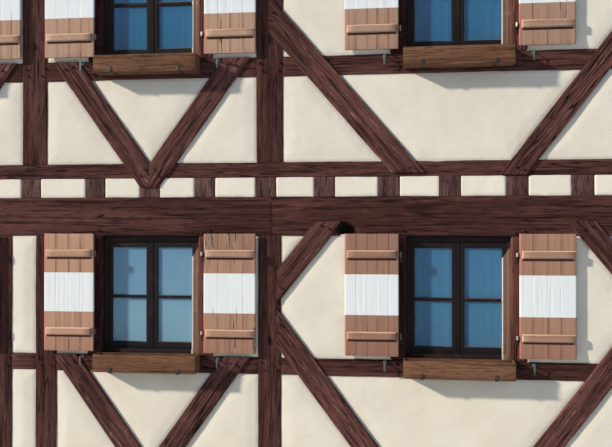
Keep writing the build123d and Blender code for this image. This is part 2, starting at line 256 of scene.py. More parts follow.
class Outputs:
    """The outputs of one node, by name, by number or in their order."""

    def __init__(self, graph, sockets):
        self.graph, self.sockets = graph, sockets

    def __getitem__(self, key):
        return Value(self.graph, self.sockets[key])

    def __iter__(self):
        return (Value(self.graph, socket) for socket in self.sockets)


# %% [markdown]
# The second class adds a node and fills its sockets with numbers or with other nodes' outputs.
# Its short words, such as noise, step and mix, each stand for a node that the recipes below use
# again and again, so that a recipe stays readable.

# %% Graph
class Graph:
    """Adds nodes to a tree. A socket takes a number, a vector or another node's output."""

    def __init__(self, tree):
        self.tree = tree

    def fill(self, sockets, values):
        for key, value in values.items():
            if isinstance(value, Value):
                self.tree.links.new(value.socket, sockets[key])
            else:
                is_colour = sockets[key].type == "RGBA"
                sockets[key].default_value = (*value, 1) if is_colour else value

    def add(self, kind, inputs=None, **settings):
        node = self.tree.nodes.new(kind)
        for name, value in settings.items():
            setattr(node, name, value)
        self.fill(node.inputs, inputs or {})
        return Outputs(self, node.outputs)

    def math(self, operation, *values):
        return self.add("ShaderNodeMath", dict(enumerate(values)), operation=operation)[0]

    def vector(self, operation, *values):
        made = self.add("ShaderNodeVectorMath", dict(enumerate(values)), operation=operation)
        return made["Value" if operation == "LENGTH" else "Vector"]

    def most(self, a, b):
        return self.math("MAXIMUM", a, b)

    def scale(self, vector, factor):
        inputs = {0: vector, "Scale": factor}
        return self.add("ShaderNodeVectorMath", inputs, operation="SCALE")[0]

    def xyz(self, *parts):
        return self.add("ShaderNodeCombineXYZ", dict(enumerate(parts)))[0]

    def parts(self, vector):
        return self.add("ShaderNodeSeparateXYZ", {0: vector})

    def noise(self, vector, scale, detail=2.0, roughness=0.5, distortion=0.0, output="Fac"):
        inputs = {
            "Vector": vector, "Scale": scale, "Detail": detail, "Roughness": roughness,
            "Distortion": distortion,
        }
        return self.add("ShaderNodeTexNoise", inputs)[output]

    def step(self, value, low, high, to_low=0.0, to_high=1.0):
        """Goes smoothly from one number to another while the value goes from low to high."""
        inputs = {
            "Value": value, "From Min": low, "From Max": high, "To Min": to_low, "To Max": to_high,
        }
        return self.add("ShaderNodeMapRange", inputs, interpolation_type="SMOOTHSTEP")[0]

    def fall(self, value, low, high, most=1.0):
        """Goes smoothly down to nothing while the value goes from low to high."""
        return self.step(value, low, high, most, 0.0)

    def mix(self, share, a, b):
        return self.add("ShaderNodeMix", {0: share, 6: a, 7: b}, data_type="RGBA")[2]

    def bump(self, height, distance, strength):
        inputs = {"Height": height, "Distance": distance, "Strength": strength}
        return self.add("ShaderNodeBump", inputs)[0]

    def stored(self, name, output="Vector"):
        """Reads in a shader what the mesh stores under a name."""
        return self.add("ShaderNodeAttribute", attribute_name=name)[output]

    def place(self):
        return self.add("ShaderNodeTexCoord")["Object"]

    def shade(self, **values):
        """Sets the shader of a material. Underscores stand for the spaces in its sockets' names."""
        shader = self.tree.nodes["Principled BSDF"].inputs
        self.fill(shader, {name.replace("_", " "): value for name, value in values.items()})

    def store(self, geometry, name, value, kind="FLOAT"):
        """Stores a value on a geometry under a name."""
        inputs = {"Geometry": geometry, "Name": name, "Value": value}
        return self.add("GeometryNodeStoreNamedAttribute", inputs, data_type=kind)[0]

    def recall(self, name, kind="FLOAT"):
        """Reads in Geometry Nodes what the geometry stores under a name."""
        return self.add("GeometryNodeInputNamedAttribute", {"Name": name}, data_type=kind)[0]

    def random(self, index, least, most, seed):
        inputs = {"Min": least, "Max": most, "ID": index, "Seed": seed}
        return self.add("FunctionNodeRandomValue", inputs, data_type="FLOAT")["Value"]

    def finish(self, geometry, material, made):
        """Gives a tree's geometry its material and puts it out as a plain mesh."""
        real = self.add("GeometryNodeRealizeInstances", {"Geometry": geometry})[0]
        inputs = {"Geometry": real, "Material": material}
        self.fill(made, {"Geometry": self.add("GeometryNodeSetMaterial", inputs)[0]})
        return self.tree


print("words for nodes:", *(word for word in vars(Graph) if not word.startswith("_")))

# %% [markdown]
# A group of nodes has named inputs and outputs, so that one recipe serves with other values. A
# new material already ends in the Principled shader.

# %% Groups and materials
def new_group(name, kind, inputs, outputs):
    """The graph of an empty node group, with what it is given and the sockets of what it makes."""
    tree = bpy.data.node_groups.new(name, kind)
    for way, sockets in (("INPUT", inputs), ("OUTPUT", outputs)):
        for label, socket in sockets.items():
            tree.interface.new_socket(name=label, in_out=way, socket_type=f"NodeSocket{socket}")
    graph = Graph(tree)
    return graph, graph.add("NodeGroupInput"), tree.nodes.new("NodeGroupOutput").inputs


def new_material(name):
    """A material and its graph, in which the Principled shader is already on the output."""
    material = bpy.data.materials.new(name)
    material.use_nodes = True
    return material, Graph(material.node_tree)


def count_nodes(*recipes):
    """Prints how many nodes each group or material has."""
    for recipe in recipes:
        print(recipe.name, "has", len(getattr(recipe, "node_tree", recipe).nodes), "nodes")


# %% [markdown]
# The floor is plain and pale. Seen straight by the camera, in a reflection or through glass,
# the world is a plain pale backdrop, and for everything else it is a softer fill light.

# %% Floor and world
FILL_STRENGTH = 0.41
FILL_COLOUR = (0.56, 0.73, 1.0)
BACKDROP_COLOUR = (0.93, 0.94, 0.95)
FLOOR_SIZE = 60
FLOOR_COLOUR = (0.74, 0.74, 0.73)

world = bpy.data.worlds.new("world")
world.use_nodes = True
scene.world = world
world_graph = Graph(world.node_tree)
ray = world_graph.add("ShaderNodeLightPath")
seen = world_graph.most(ray["Is Camera Ray"], ray["Is Transmission Ray"])
seen = world_graph.most(seen, ray["Is Glossy Ray"])
level = world_graph.math("MULTIPLY_ADD", seen, 1 - FILL_STRENGTH, FILL_STRENGTH)
backdrop = world_graph.mix(seen, FILL_COLOUR, BACKDROP_COLOUR)
world_graph.fill(world.node_tree.nodes["Background"].inputs, {"Strength": level, "Color": backdrop})

floor_material, floor_graph = new_material("studio_floor")
floor_graph.shade(Base_Color=FLOOR_COLOUR, Roughness=0.9)
bpy.ops.mesh.primitive_plane_add(size=FLOOR_SIZE)
floor = bpy.context.object
floor.name = "studio_floor"
floor.data.materials.append(floor_material)
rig.stage(floor)
print("floor", FLOOR_SIZE, "m wide, fill light", FILL_STRENGTH)

# %% [markdown]
# ## What old wood looks like
# All wood here shares one effect: fibres that run with the grain, a slow change of tone, knots,
# drying cracks that open along the fibres, and fine checks between them. It is one node group.
# Its coordinates come from an attribute that each piece stores, with X along its own grain, so
# a post, a rail and a slanted brace all have their grain along their length.

# %% Wood grain group
KNOT_SCALE = 4.6
KNOTS_LEFT_OUT = 0.78
STREAK_STRETCH = 1.8
CRACK_STRETCH = 2.6
CHECK_STRETCH = 3.4


def stretched(graph, vector, amount):
    """Divides X, so that a pattern grows longer along the grain."""
    x, y, z = graph.parts(vector)
    return graph.xyz(x / amount, y, z)


def wood_grain_group():
    outputs = ("Fibre", "Streak", "Tone", "Knot", "Check", "Crack", "Height")
    graph, given, made = new_group(
        "wood_grain", "ShaderNodeTree",
        {"Grain": "Vector", "Stretch": "Float", "Knots": "Float", "Crack Amount": "Float"},
        dict.fromkeys(outputs, "Float"),
    )
    longer = stretched(graph, given["Grain"], 1.5)
    knot = graph.add("ShaderNodeTexVoronoi", {"Vector": longer, "Scale": KNOT_SCALE})
    kept = graph.add("ShaderNodeSeparateColor", {0: knot["Color"]})[0]
    kept = graph.math("GREATER_THAN", kept, KNOTS_LEFT_OUT) * given["Knots"]
    ragged = graph.noise(given["Grain"], 60.0, 3.0, 0.7)
    ragged = graph.math("MULTIPLY_ADD", ragged, 0.16, knot["Distance"])
    core = graph.fall(ragged, 0.12, 0.20) * kept
    grain = stretched(graph, given["Grain"], given["Stretch"])
    fibre = graph.noise(grain, 75.0, 5.0, 0.7)
    streak = graph.noise(stretched(graph, grain, STREAK_STRETCH), 26.0, 4.0, 0.6, 0.3)
    tone = graph.noise(grain, 5.0, 3.0, 0.55, 0.4)
    line = graph.noise(stretched(graph, grain, CRACK_STRETCH), 15.0, 1.5, 0.4)
    off = abs(line - 0.5)
    where = graph.step(graph.noise(grain, 6.3, 1.0), 0.50, 0.62)
    crack = graph.fall(off, 0.002, 0.017) * where * given["Crack Amount"]
    line = graph.noise(stretched(graph, grain, CHECK_STRETCH), 30.0, 2.0, 0.5, 0.2)
    off = abs(line - 0.5)
    check = graph.fall(off, 0.010, 0.050) * graph.step(streak, 0.42, 0.56, 1.0, 0.15)
    height = fibre * 0.3 + streak * 0.5
    deep = crack + check * 0.35
    graph.fill(made, {
        "Fibre": fibre, "Streak": streak, "Tone": tone, "Knot": core, "Check": check,
        "Crack": crack, "Height": height - deep - core * 0.3,
    })
    return graph.tree


wood_grain = wood_grain_group()


def grained(graph, stretch, knots, cracks):
    """The outputs of the wood grain group, on the coordinates that a piece stores."""
    inputs = {"Grain": graph.stored("grain"), "Stretch": stretch, "Knots": knots}
    inputs["Crack Amount"] = cracks
    return graph.add("ShaderNodeGroup", inputs, node_tree=wood_grain)


count_nodes(wood_grain)

# %% [markdown]
# ## Finishes
# The oak was stained red-brown and has weathered since: darker and lighter stretches, worn fibres that catch the
# light, and black drying cracks. Its roughness hardly changes. The stud to the right of a window is painted lighter,
# as sunlit, and the one to its left darker, as painted shade. Braces are lighter than posts, joist ends are dull and
# have no knots, and a rotted hollow is painted black, as its shade. All are one recipe with other colours.

# %% Old oak
BLACK = (0.003, 0.0018, 0.0018)


def darker(colour, share):
    return tuple(part * share for part in colour)


def old_oak(name, dark, light, worn, knots=1.0, cracks=1.0, checked=0.75, stretch=9.0):
    material, graph = new_material(name)
    wood = grained(graph, stretch, knots, cracks)
    colour = graph.mix(graph.step(wood["Tone"], 0.34, 0.66), dark, light)
    ring = graph.fall(wood["Streak"], 0.36, 0.50, 0.55)
    colour = graph.mix(ring, colour, darker(dark, 0.5))
    fleck = graph.step(wood["Fibre"], 0.55, 0.68)
    bleach_and_painted_sun = graph.step(wood["Streak"], 0.50, 0.66, 0.08, 0.6)
    colour = graph.mix(fleck * bleach_and_painted_sun, colour, worn)
    furrow = graph.fall(wood["Fibre"], 0.36, 0.48, 0.75)
    colour = graph.mix(furrow, colour, darker(dark, 0.35))
    colour = graph.mix(wood["Check"] * checked, colour, darker(dark, 0.15))
    colour = graph.mix(wood["Knot"] * 0.7, colour, darker(dark, 0.25))
    # Cracks are dark, and the rotted hollow is painted black as its shade
    hollow = graph.stored("hollow", "Fac")
    cracks_and_hollow_shade = graph.most(wood["Crack"], hollow)
    colour = graph.mix(cracks_and_hollow_shade, colour, BLACK)
    rough = graph.step(wood["Fibre"], 0.3, 0.7, 0.95, 0.78)
    normal = graph.bump(wood["Height"], 0.008, 0.9)
    graph.shade(Base_Color=colour, Roughness=rough, Normal=normal, Specular_IOR_Level=0.12)
    return material


frame_oak = old_oak(
    "frame_oak", (0.052, 0.0195, 0.018), (0.098, 0.040, 0.036), (0.20, 0.105, 0.084),
)
sawn_boards = old_oak(
    "sawn_boards", (0.30, 0.19, 0.11), (0.42, 0.28, 0.17), (0.50, 0.36, 0.23),
    knots=0.6, cracks=0.3, checked=0.3,
)
# Lit and shaded copies of one oak: the stud right of a window is painted as sunlit, the one to its left as in shade
sunlit_stud_oak = old_oak(
    "sunlit_stud_oak", (0.085, 0.032, 0.028), (0.165, 0.068, 0.056), (0.34, 0.17, 0.13),
)
shaded_stud_oak = old_oak(
    "shaded_stud_oak", (0.026, 0.0095, 0.009), (0.055, 0.021, 0.019), (0.12, 0.055, 0.045),
)
brace_oak = old_oak(
    "brace_oak", (0.066, 0.026, 0.024), (0.130, 0.055, 0.050), (0.52, 0.35, 0.26),
)
joist_oak = old_oak(
    "joist_oak", (0.074, 0.038, 0.036), (0.130, 0.070, 0.066), (0.22, 0.14, 0.12),
    knots=0.0, cracks=0.5, checked=0.6,
)
count_nodes(frame_oak, sawn_boards, sunlit_stud_oak, shaded_stud_oak, brace_oak, joist_oak)

# %% [markdown]
# Lime plaster is smoothed with a trowel. It keeps broad strokes, fine sand grains, faint stains, and a grey line along
# the timber beside it. The distance to the nearest timber is stored on the mesh, and drives that line.

# %% Lime plaster
def lime_plaster(name, colour, deeper_tone, stain):
    material, graph = new_material(name)
    place = graph.place()
    edge = graph.stored("edge", "Fac")
    broad = graph.noise(place, 2.3, 5.0, 0.62)
    stroke = graph.noise(place * (7.0, 1.0, 12.0), 1.0, 3.0, 0.5, 1.2)
    sand = graph.noise(place, 240.0, 2.0, 0.6)
    tint = graph.mix(graph.step(broad, 0.36, 0.66), colour, deeper_tone)
    patch = graph.noise(place, 9.0, 5.0, 0.7)
    tint = graph.mix(graph.step(patch, 0.56, 0.78, 0.0, 0.28), tint, stain)
    # Darker within a few centimetres of the nearest timber
    near = graph.fall(edge, 0.002, 0.04, 0.45) * graph.step(patch, 0.35, 0.6, 0.35, 1.0)
    tint = graph.mix(near, tint, stain)
    normal = graph.bump(stroke + sand * 0.16, 0.003, 0.8)
    graph.shade(Base_Color=tint, Roughness=0.95, Normal=normal, Specular_IOR_Level=0.15)
    return material


panel_plaster = lime_plaster(
    "panel_plaster", (0.715, 0.690, 0.610), (0.670, 0.640, 0.560), (0.47, 0.44, 0.38),
)
block_plaster = lime_plaster(
    "block_plaster", (0.745, 0.715, 0.635), (0.715, 0.680, 0.595), (0.53, 0.49, 0.42),
)
count_nodes(panel_plaster, block_plaster)

# %% [markdown]
# The shutters wear a tan coat, with a white band across the middle. Where rain runs down the joints and nails, the
# paint has split along the grain and the bare wood shows as dark lines. Each leaf stores its own coordinates, from
# left to right and from its foot to its head as 0 to 1, so the band needs no measured heights. The third coordinate is
# a number that differs from leaf to leaf. Each board stores its own coordinate too, for the dark seam at its edge and
# the painted shade beside it, and 1 on the battens. Its age says how far the sun has faded the top and the rest, and
# how much the leaf has split. The strip under each batten is painted dark, as the batten's shadow, and rain splashes
# the foot of the leaf. Batten faces that face up or to the left are painted lighter, as sunlit, and the left arris is
# worn to red.

# %% Shutter paint
BAND_FOOT = 0.335
BAND_HEAD = 0.668
BAND_BLUR = 0.0012
BATTEN_FEET = (0.136, 0.800)
# How far the painted shadow under each batten reaches down, as a share of the leaf's height
BATTEN_SHADOW_DROP = 0.021
UPPER_STOREY = (2.9, 3.0)
COAT = {
    "tan": (0.425, 0.265, 0.183), "faded tan": (0.262, 0.156, 0.113),
    "cloudy": (0.40, 0.20, 0.14), "faded cloudy": (0.25, 0.13, 0.098),
    "splashed": (0.24, 0.095, 0.078), "upper": (0.36, 0.29, 0.225),
    "sunlit": (0.66, 0.43, 0.30), "streaked": (0.22, 0.095, 0.066),
    "shaded": (0.25, 0.105, 0.072), "worn": (0.44, 0.17, 0.135),
    "white": (0.69, 0.75, 0.80), "pale": (0.73, 0.78, 0.82),
    "chipped": (0.30, 0.30, 0.31), "seam": (0.15, 0.052, 0.038),
    "peeled": (0.50, 0.42, 0.34), "grime": (0.030, 0.010, 0.008),
    "split": (0.030, 0.016, 0.014),
}


def shutter_paint():
    material, graph = new_material("shutter_paint")
    wood = grained(graph, stretch=14.0, knots=0.0, cracks=1.0)
    leaf = graph.stored("leaf")
    across, rise, _ = graph.parts(leaf)
    along, batten, _ = graph.parts(graph.stored("board"))
    top_faded, rest_faded, splitting = graph.parts(graph.stored("age"))
    bare = 1.0 - batten
    above = graph.step(rise, BAND_FOOT - BAND_BLUR, BAND_FOOT + BAND_BLUR)
    below = graph.fall(rise, BAND_HEAD - BAND_BLUR, BAND_HEAD + BAND_BLUR)
    white = above * below
    plain = 1.0 - white

    high = graph.step(rise, 0.80, 0.83) * bare
    faded = rest_faded + (top_faded - rest_faded) * high
    tan = graph.mix(faded, COAT["tan"], COAT["faded tan"])
    rest = graph.add("ShaderNodeTexCoord")
    storey = graph.step(graph.parts(rest["Object"])[2], *UPPER_STOREY)
    foot = graph.fall(rise, 0.10, 0.16, 0.42) * (1.0 - graph.most(batten, storey))
    tan = graph.mix(foot, tan, COAT["splashed"])
    tan = graph.mix(storey * 0.35, tan, COAT["upper"])
    # Painted highlight: batten faces that face up or to the left are painted lighter, as sunlit
    sideways, inward, upward = graph.parts(rest["Normal"])
    lit = graph.most(graph.step(upward, 0.2, 0.5), graph.fall(sideways, -0.5, -0.3))
    tan = graph.mix(lit * batten, tan, COAT["sunlit"])
    cloud = graph.step(wood["Tone"], 0.30, 0.70, 0.0, 0.35)
    tan = graph.mix(cloud, tan, graph.mix(faded, COAT["cloudy"], COAT["faded cloudy"]))
    tan = graph.mix(graph.fall(wood["Streak"], 0.36, 0.50, 0.35), tan, COAT["streaked"])
    # Painted shade: each board is darker just right of its left joint, outside the white band
    tan = graph.mix(graph.fall(along, 0.0, 0.30, 0.40) * plain, tan, COAT["shaded"])
    tan = graph.mix(graph.fall(across, 0.026, 0.044, 0.85) * bare, tan, COAT["worn"])
    pale = graph.mix(graph.step(wood["Tone"], 0.3, 0.7), COAT["white"], COAT["pale"])
    paint = graph.mix(white, tan, pale)
    chips = graph.noise(leaf * (13.0, 17.0, 61.0), 1.0, 3.0, 0.6)
    paint = graph.mix(graph.step(chips, 0.72, 0.74) * (white * 0.5), paint, COAT["chipped"])
    seam = graph.most(graph.fall(along, 0.02, 0.06), graph.step(along, 0.955, 0.985)) * plain
    gone = graph.noise(leaf * (9.0, 5.0, 53.0), 1.0, 3.0, 0.6)
    paint = graph.mix(seam * graph.step(gone, 0.42, 0.58, 0.25, 0.95), paint, COAT["seam"])

    spread = graph.noise(leaf * (7.0, 0.8, 37.0), 1.0, 1.0, 0.5)
    limit = graph.math("MULTIPLY_ADD", splitting, -0.23, 0.75)
    spared = graph.step(abs(rise - 0.56), 0.12, 0.24)
    open_here = graph.step(spread - limit, 0.0, 0.05) * spared * bare
    off = abs(wood["Streak"] - 0.52)
    split = graph.fall(off, 0.010, 0.030) * open_here
    peel = graph.fall(off, 0.030, 0.060) * open_here
    paint = graph.mix(peel * 0.5, paint, COAT["peeled"])
    # Painted shadow: the strip under each batten is darkened, on the front faces only
    under = 0.0
    for foot in BATTEN_FEET:
        band = graph.step(rise, foot - BATTEN_SHADOW_DROP, foot - BATTEN_SHADOW_DROP * 0.8) * graph.fall(rise, foot, foot + 0.001)
        under = graph.most(band, under)
    inside = graph.step(across, 0.05, 0.06) * graph.fall(across, 0.95, 0.96)
    grime = under * (bare * 0.95) * inside * graph.fall(inward, -0.1, 0.1)
    paint = graph.mix(grime, paint, COAT["grime"])
    colour = graph.mix(split, paint, COAT["split"])
    rough = graph.math("MULTIPLY_ADD", split, 0.25, 0.62)
    normal = graph.bump(wood["Height"] * 0.22 - split, 0.003, 0.7)
    graph.shade(Base_Color=colour, Roughness=rough, Normal=normal, Specular_IOR_Level=0.25)
    return material


shutter_coat = shutter_paint()
count_nodes(shutter_coat)

# %% [markdown]
# The windows are painted a brown that is almost black. Upward arrises of the right-hand casements are paler, worn and
# partly a painted highlight. The stiles right of the last panes take a paler brown as painted sunlight, beside a line
# of putty painted as a highlight. Iron is forged: dull, uneven and a little rusty. The knuckles of the right-hand
# leaves are pale worn iron, painted as sunlit, the pintles' plates are painted brown, and the catches have gone grey.

# %% Window paint, iron, box wood
def dark_paint(name, colour, worn, roughness):
    material, graph = new_material(name)
    place = graph.place()
    cloud = graph.noise(place, 9.0, 4.0, 0.6)
    brush = graph.noise(place * (90.0, 90.0, 6.0), 1.0, 2.0)
    tint = graph.mix(graph.step(cloud, 0.50, 0.72, 0.0, 0.7), colour, worn)
    rough = graph.step(cloud, 0.3, 0.7, roughness - 0.08, roughness + 0.12)
    normal = graph.bump(brush, 0.001, 0.5)
    graph.shade(Base_Color=tint, Roughness=rough, Normal=normal, Specular_IOR_Level=0.1)
    return material


window_paint = dark_paint("window_paint", (0.011, 0.009, 0.011), (0.030, 0.019, 0.017), 0.6)
frame_paint = dark_paint("frame_paint", (0.020, 0.013, 0.013), (0.050, 0.030, 0.025), 0.65)
# Painted sunlight: the paler brown of the stiles that face the lamp
bleach_and_painted_sun = dark_paint("painted_sunlit_stile", (0.19, 0.118, 0.086), (0.32, 0.215, 0.165), 0.7)
# Worn arris paint, kept only on upward arrises of the right-hand casements as a painted highlight
worn_and_lit_arris = dark_paint("worn_and_lit_arrises", (0.24, 0.155, 0.12), (0.38, 0.26, 0.20), 0.7)
# A pale line of putty, painted as a highlight beside the sunlit stile
putty = dark_paint("putty", (0.66, 0.60, 0.55), (0.76, 0.73, 0.70), 0.8)


def forged_iron(name, colour, rust_colour):
    material, graph = new_material(name)
    place = graph.place()
    dent = graph.noise(place, 55.0, 3.0, 0.6)
    rust = graph.step(graph.noise(place, 24.0, 5.0, 0.7), 0.54, 0.68)
    metal = graph.math("MULTIPLY_ADD", rust, -0.6, 0.7)
    rough = graph.math("MULTIPLY_ADD", rust, 0.35, 0.45)
    normal = graph.bump(dent, 0.002, 0.8)
    tint = graph.mix(rust, colour, rust_colour)
    graph.shade(Base_Color=tint, Metallic=metal, Roughness=rough, Normal=normal)
    return material


iron = forged_iron("forged_iron", (0.035, 0.032, 0.032), (0.13, 0.055, 0.028))
catch_iron = forged_iron("grey_catches", (0.11, 0.125, 0.13), (0.12, 0.075, 0.05))
# Painted highlight: pale worn iron, put only on the knuckles of the right-hand leaves
sunlit_knuckle_iron = forged_iron("worn_and_sunlit_knuckles", (0.42, 0.40, 0.38), (0.24, 0.15, 0.10))
plate_paint = dark_paint("painted_plates", (0.055, 0.022, 0.020), (0.12, 0.055, 0.040), 0.75)
box_oak = old_oak(
    "box_boards", (0.12, 0.058, 0.034), (0.19, 0.10, 0.06), (0.26, 0.16, 0.10),
    knots=0.4, cracks=0.5, checked=0.4,
)
count_nodes(window_paint, frame_paint, bleach_and_painted_sun, worn_and_lit_arris, putty, plate_paint)
count_nodes(iron, catch_iron, sunlit_knuckle_iron, box_oak)

# %% [markdown]
# Window glass outdoors looks deep blue, because it mirrors the sky, and shows a little of the
# curtain behind it. A plain pane that lets part of the light through, with a blue tint and a
# sharp gloss, gives that without a sky. The tint is paler low down, where a pane mirrors the
# haze near the horizon, and deeper in the upper storey and in the wide bay.

# %% Glass and curtain
PANE_FOOT, PANE_HEAD = (corner.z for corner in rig.box("lower_glass"))
STOREY_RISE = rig.box("upper_glass")[0].z - PANE_FOOT
# The tints are a painted reflection of the sky, paler low down
PANE_TINTS = {"foot": (0.24, 0.46, 0.62), "head": (0.145, 0.335, 0.53),
              "deep": (0.02, 0.16, 0.34)}


def window_glass():
    material, graph = new_material("window_glass")
    place = graph.place()
    x, _, z = graph.parts(place)
    rise = graph.math("MODULO", z, STOREY_RISE)
    cloud = graph.noise(place * (1.3, 1.0, 1.8), 1.0, 2.0, 0.5, 0.6)
    rise = rise + graph.math("MULTIPLY_ADD", cloud, 0.8, -0.4)
    low = graph.fall(rise, PANE_FOOT, PANE_HEAD)
    tint = graph.mix(low, PANE_TINTS["head"], PANE_TINTS["foot"])
    deep = graph.most(graph.step(x, 0.2, 2.0, 0.0, 0.8), graph.step(z, 2.5, 4.0))
    tint = graph.mix(deep, tint, PANE_TINTS["deep"])
    normal = graph.bump(graph.noise(place, 3.0, 1.0), 0.004, 0.3)
    graph.shade(Base_Color=tint, Normal=normal, Roughness=0.04, Alpha=0.62, Specular_IOR_Level=0.4)
    return material


def net_curtain():
    material, graph = new_material("net_curtain")
    place = graph.add("ShaderNodeUVMap", uv_map="cloth")["UV"]
    threads = graph.add("ShaderNodeTexVoronoi", {"Vector": place, "Scale": 260.0})[0]
    # Painted light and shade: dark in the hollows, pale where the net gathers on the ridges
    layers = graph.stored("layers", "Fac")
    tint = graph.mix(layers, (0.22, 0.23, 0.235), (0.93, 0.94, 0.93))
    weave = graph.step(threads, 0.1, 0.7, 0.0, 0.15)
    tint = graph.mix(weave, tint, (0.40, 0.41, 0.42))
    normal = graph.bump(threads, 0.001, 0.5)
    graph.shade(Base_Color=tint, Roughness=0.9, Normal=normal)
    return material


glass = window_glass()
curtain_cloth = net_curtain()
count_nodes(glass, curtain_cloth)

# %% [markdown]
# ## Hewn timber
# A squared oak beam is never quite square: its faces carry the marks of the axe, its arrises
# are worn round, it wanders a little from a straight line, and it splits as it dries. All of
# that follows rules, so one tree of Geometry Nodes makes every timber from its length, width
# and depth. A dense box is rounded, swayed, chopped and split, in that order. It stores the
# coordinates of its own grain, and how far each point is from an arris, before anything moves.

# %% Geometry Nodes: hewn timber
WIDTH_STEP = 0.0085
DEPTH_STEP = 0.022


def divisions(graph, size, step):
    return graph.most(graph.math("ROUND", size / step), 4.0)


def even_but_rim(graph, value, half, count, rim):
    """Moves evenly spaced points so that the outer two rows lie one rim's width apart."""
    inner = 1.0 - 2.0 / (count - 1.0)
    wanted = (half - rim) / half
    is_rim = graph.math("GREATER_THAN", abs(value / half), 0.9999)
    scale = wanted / inner
    return value * (is_rim * (1.0 - scale) + scale)


def hewn_timber_tree():
    graph, given, made = new_group(
        "hewn_timber", "GeometryNodeTree",
        {
            "Length": "Float", "Width": "Float", "Depth": "Float", "Step": "Float",
            "Round": "Float", "Sway": "Float", "Chop": "Float", "Split": "Float",
            "Seed": "Float", "Material": "Material",
        },
        {"Geometry": "Geometry"},
    )
    sizes = (given["Length"], given["Depth"], given["Width"])
    steps = (given["Step"], DEPTH_STEP, WIDTH_STEP)
    counts = [divisions(graph, size, step) for size, step in zip(sizes, steps)]
    size = graph.xyz(*sizes)
    box = graph.add("GeometryNodeMeshCube", {
        "Size": size, "Vertices X": counts[0], "Vertices Y": counts[1], "Vertices Z": counts[2],
    })[0]
    corner = graph.parts(graph.add("GeometryNodeInputPosition")[0])
    moved = graph.xyz(*(
        even_but_rim(graph, part, size * 0.5, count, given["Round"])
        for part, size, count in zip(corner, sizes, counts)
    ))
    box = graph.add("GeometryNodeSetPosition", {"Geometry": box, "Position": moved})[0]

    place = graph.add("GeometryNodeInputPosition")[0]
    half = size * (0.5, 0.5, 0.5)
    a, b, c = graph.parts(half - abs(place))
    edge = graph.most(graph.math("MINIMUM", a, b), graph.math("MINIMUM", b, c))
    edge = graph.most(edge, graph.math("MINIMUM", a, c))
    box = graph.store(box, "edge", edge)
    grain = place + graph.xyz(*[given["Seed"]] * 3) * (7.31, 3.17, 5.71)
    stored = graph.store(box, "grain", grain, "FLOAT_VECTOR")

    worn = graph.noise(grain * (2.2, 0.4, 0.4), 1.0, 2.0)
    radius = given["Round"] * graph.step(worn, 0.3, 0.7, 0.6, 1.5)
    rim = graph.xyz(radius, radius, radius)
    core = half - rim
    least = core * (-1.0, -1.0, -1.0)
    inner = graph.vector("MINIMUM", graph.vector("MAXIMUM", place, least), core)
    out = place - inner
    reach = graph.most(graph.vector("LENGTH", out), radius)
    rounded = inner + graph.scale(out, radius / reach)

    slow = graph.noise(grain * (0.8, 0.0, 0.0), 1.0, 2.0, output="Color")
    side = (slow - (0.5, 0.5, 0.5)) * (0.0, 0.6, 2.0)
    swayed = rounded + graph.scale(side, given["Sway"])
    shaped = graph.add("GeometryNodeSetPosition", {"Geometry": stored, "Position": swayed})[0]

    again = graph.recall("grain", "FLOAT_VECTOR")
    marks = graph.noise(again * (7.0, 16.0, 16.0), 1.0, 2.0)
    waves = graph.noise(again * (3.0, 4.0, 4.0), 1.0, 2.0)
    chop = (marks - 0.5 + (waves - 0.5) * 1.6) * given["Chop"]
    line = graph.noise(again * (0.5, 13.0, 13.0), 1.0, 1.5, 0.4, 0.2)
    off = abs(line - 0.5)
    where = graph.step(graph.noise(again, 1.3, 1.0), 0.44, 0.60)
    split = graph.fall(off, 0.006, 0.034) * where
    normal = graph.add("GeometryNodeInputNormal")[0]
    push = graph.scale(normal, chop - split * given["Split"])
    hewn = graph.add("GeometryNodeSetPosition", {"Geometry": shaped, "Offset": push})[0]
    return graph.finish(hewn, given["Material"], made)


hewn_timber = hewn_timber_tree()


def grow(tree, base=None, **values):
    """Runs a tree of Geometry Nodes with these inputs and returns its result as a plain mesh."""
    blank = bpy.data.objects.new("blank", base or bpy.data.meshes.new("blank"))
    scene.collection.objects.link(blank)
    modifier = blank.modifiers.new("grow", "NODES")
    modifier.node_group = tree
    for name, value in values.items():
        socket = tree.interface.items_tree[name.replace("_", " ")]
        modifier[socket.identifier] = value
    evaluated = blank.evaluated_get(bpy.context.evaluated_depsgraph_get())
    mesh = bpy.data.meshes.new_from_object(evaluated)
    bpy.data.objects.remove(blank)
    return mesh


count_nodes(hewn_timber)

# %% [markdown]
# ## Where each timber goes
# The packed model already holds every timber at its place. Each node is split into its
# separate solids, and the outline of a solid on the wall's face gives the timber's direction,
# length and width. A slanted brace is made too long, and cut off along the other edges of its
# outline, as a carpenter would do.

# %% Read solids from the frame
MERGE_DISTANCE = 0.00001


def solids_of(node):
    """The corner points of each separate solid of a node, from left to right and bottom up."""
    shape = bmesh.new()
    shape.from_mesh(frame["nodes"][node].data)
    bmesh.ops.remove_doubles(shape, verts=shape.verts, dist=MERGE_DISTANCE)
    found, seen = [], set()
    for first in shape.verts:
        if first in seen:
            continue
        seen.add(first)
        waiting, group = [first], []
        while waiting:
            vertex = waiting.pop()
            group.append(tuple(vertex.co))
            for edge in vertex.link_edges:
                other = edge.other_vert(vertex)
                if other not in seen:
                    seen.add(other)
                    waiting.append(other)
        found.append(np.array(group))
    shape.free()
    return sorted(found, key=lambda p: (round(p[:, 0].mean(), 3), round(p[:, 2].mean(), 3)))


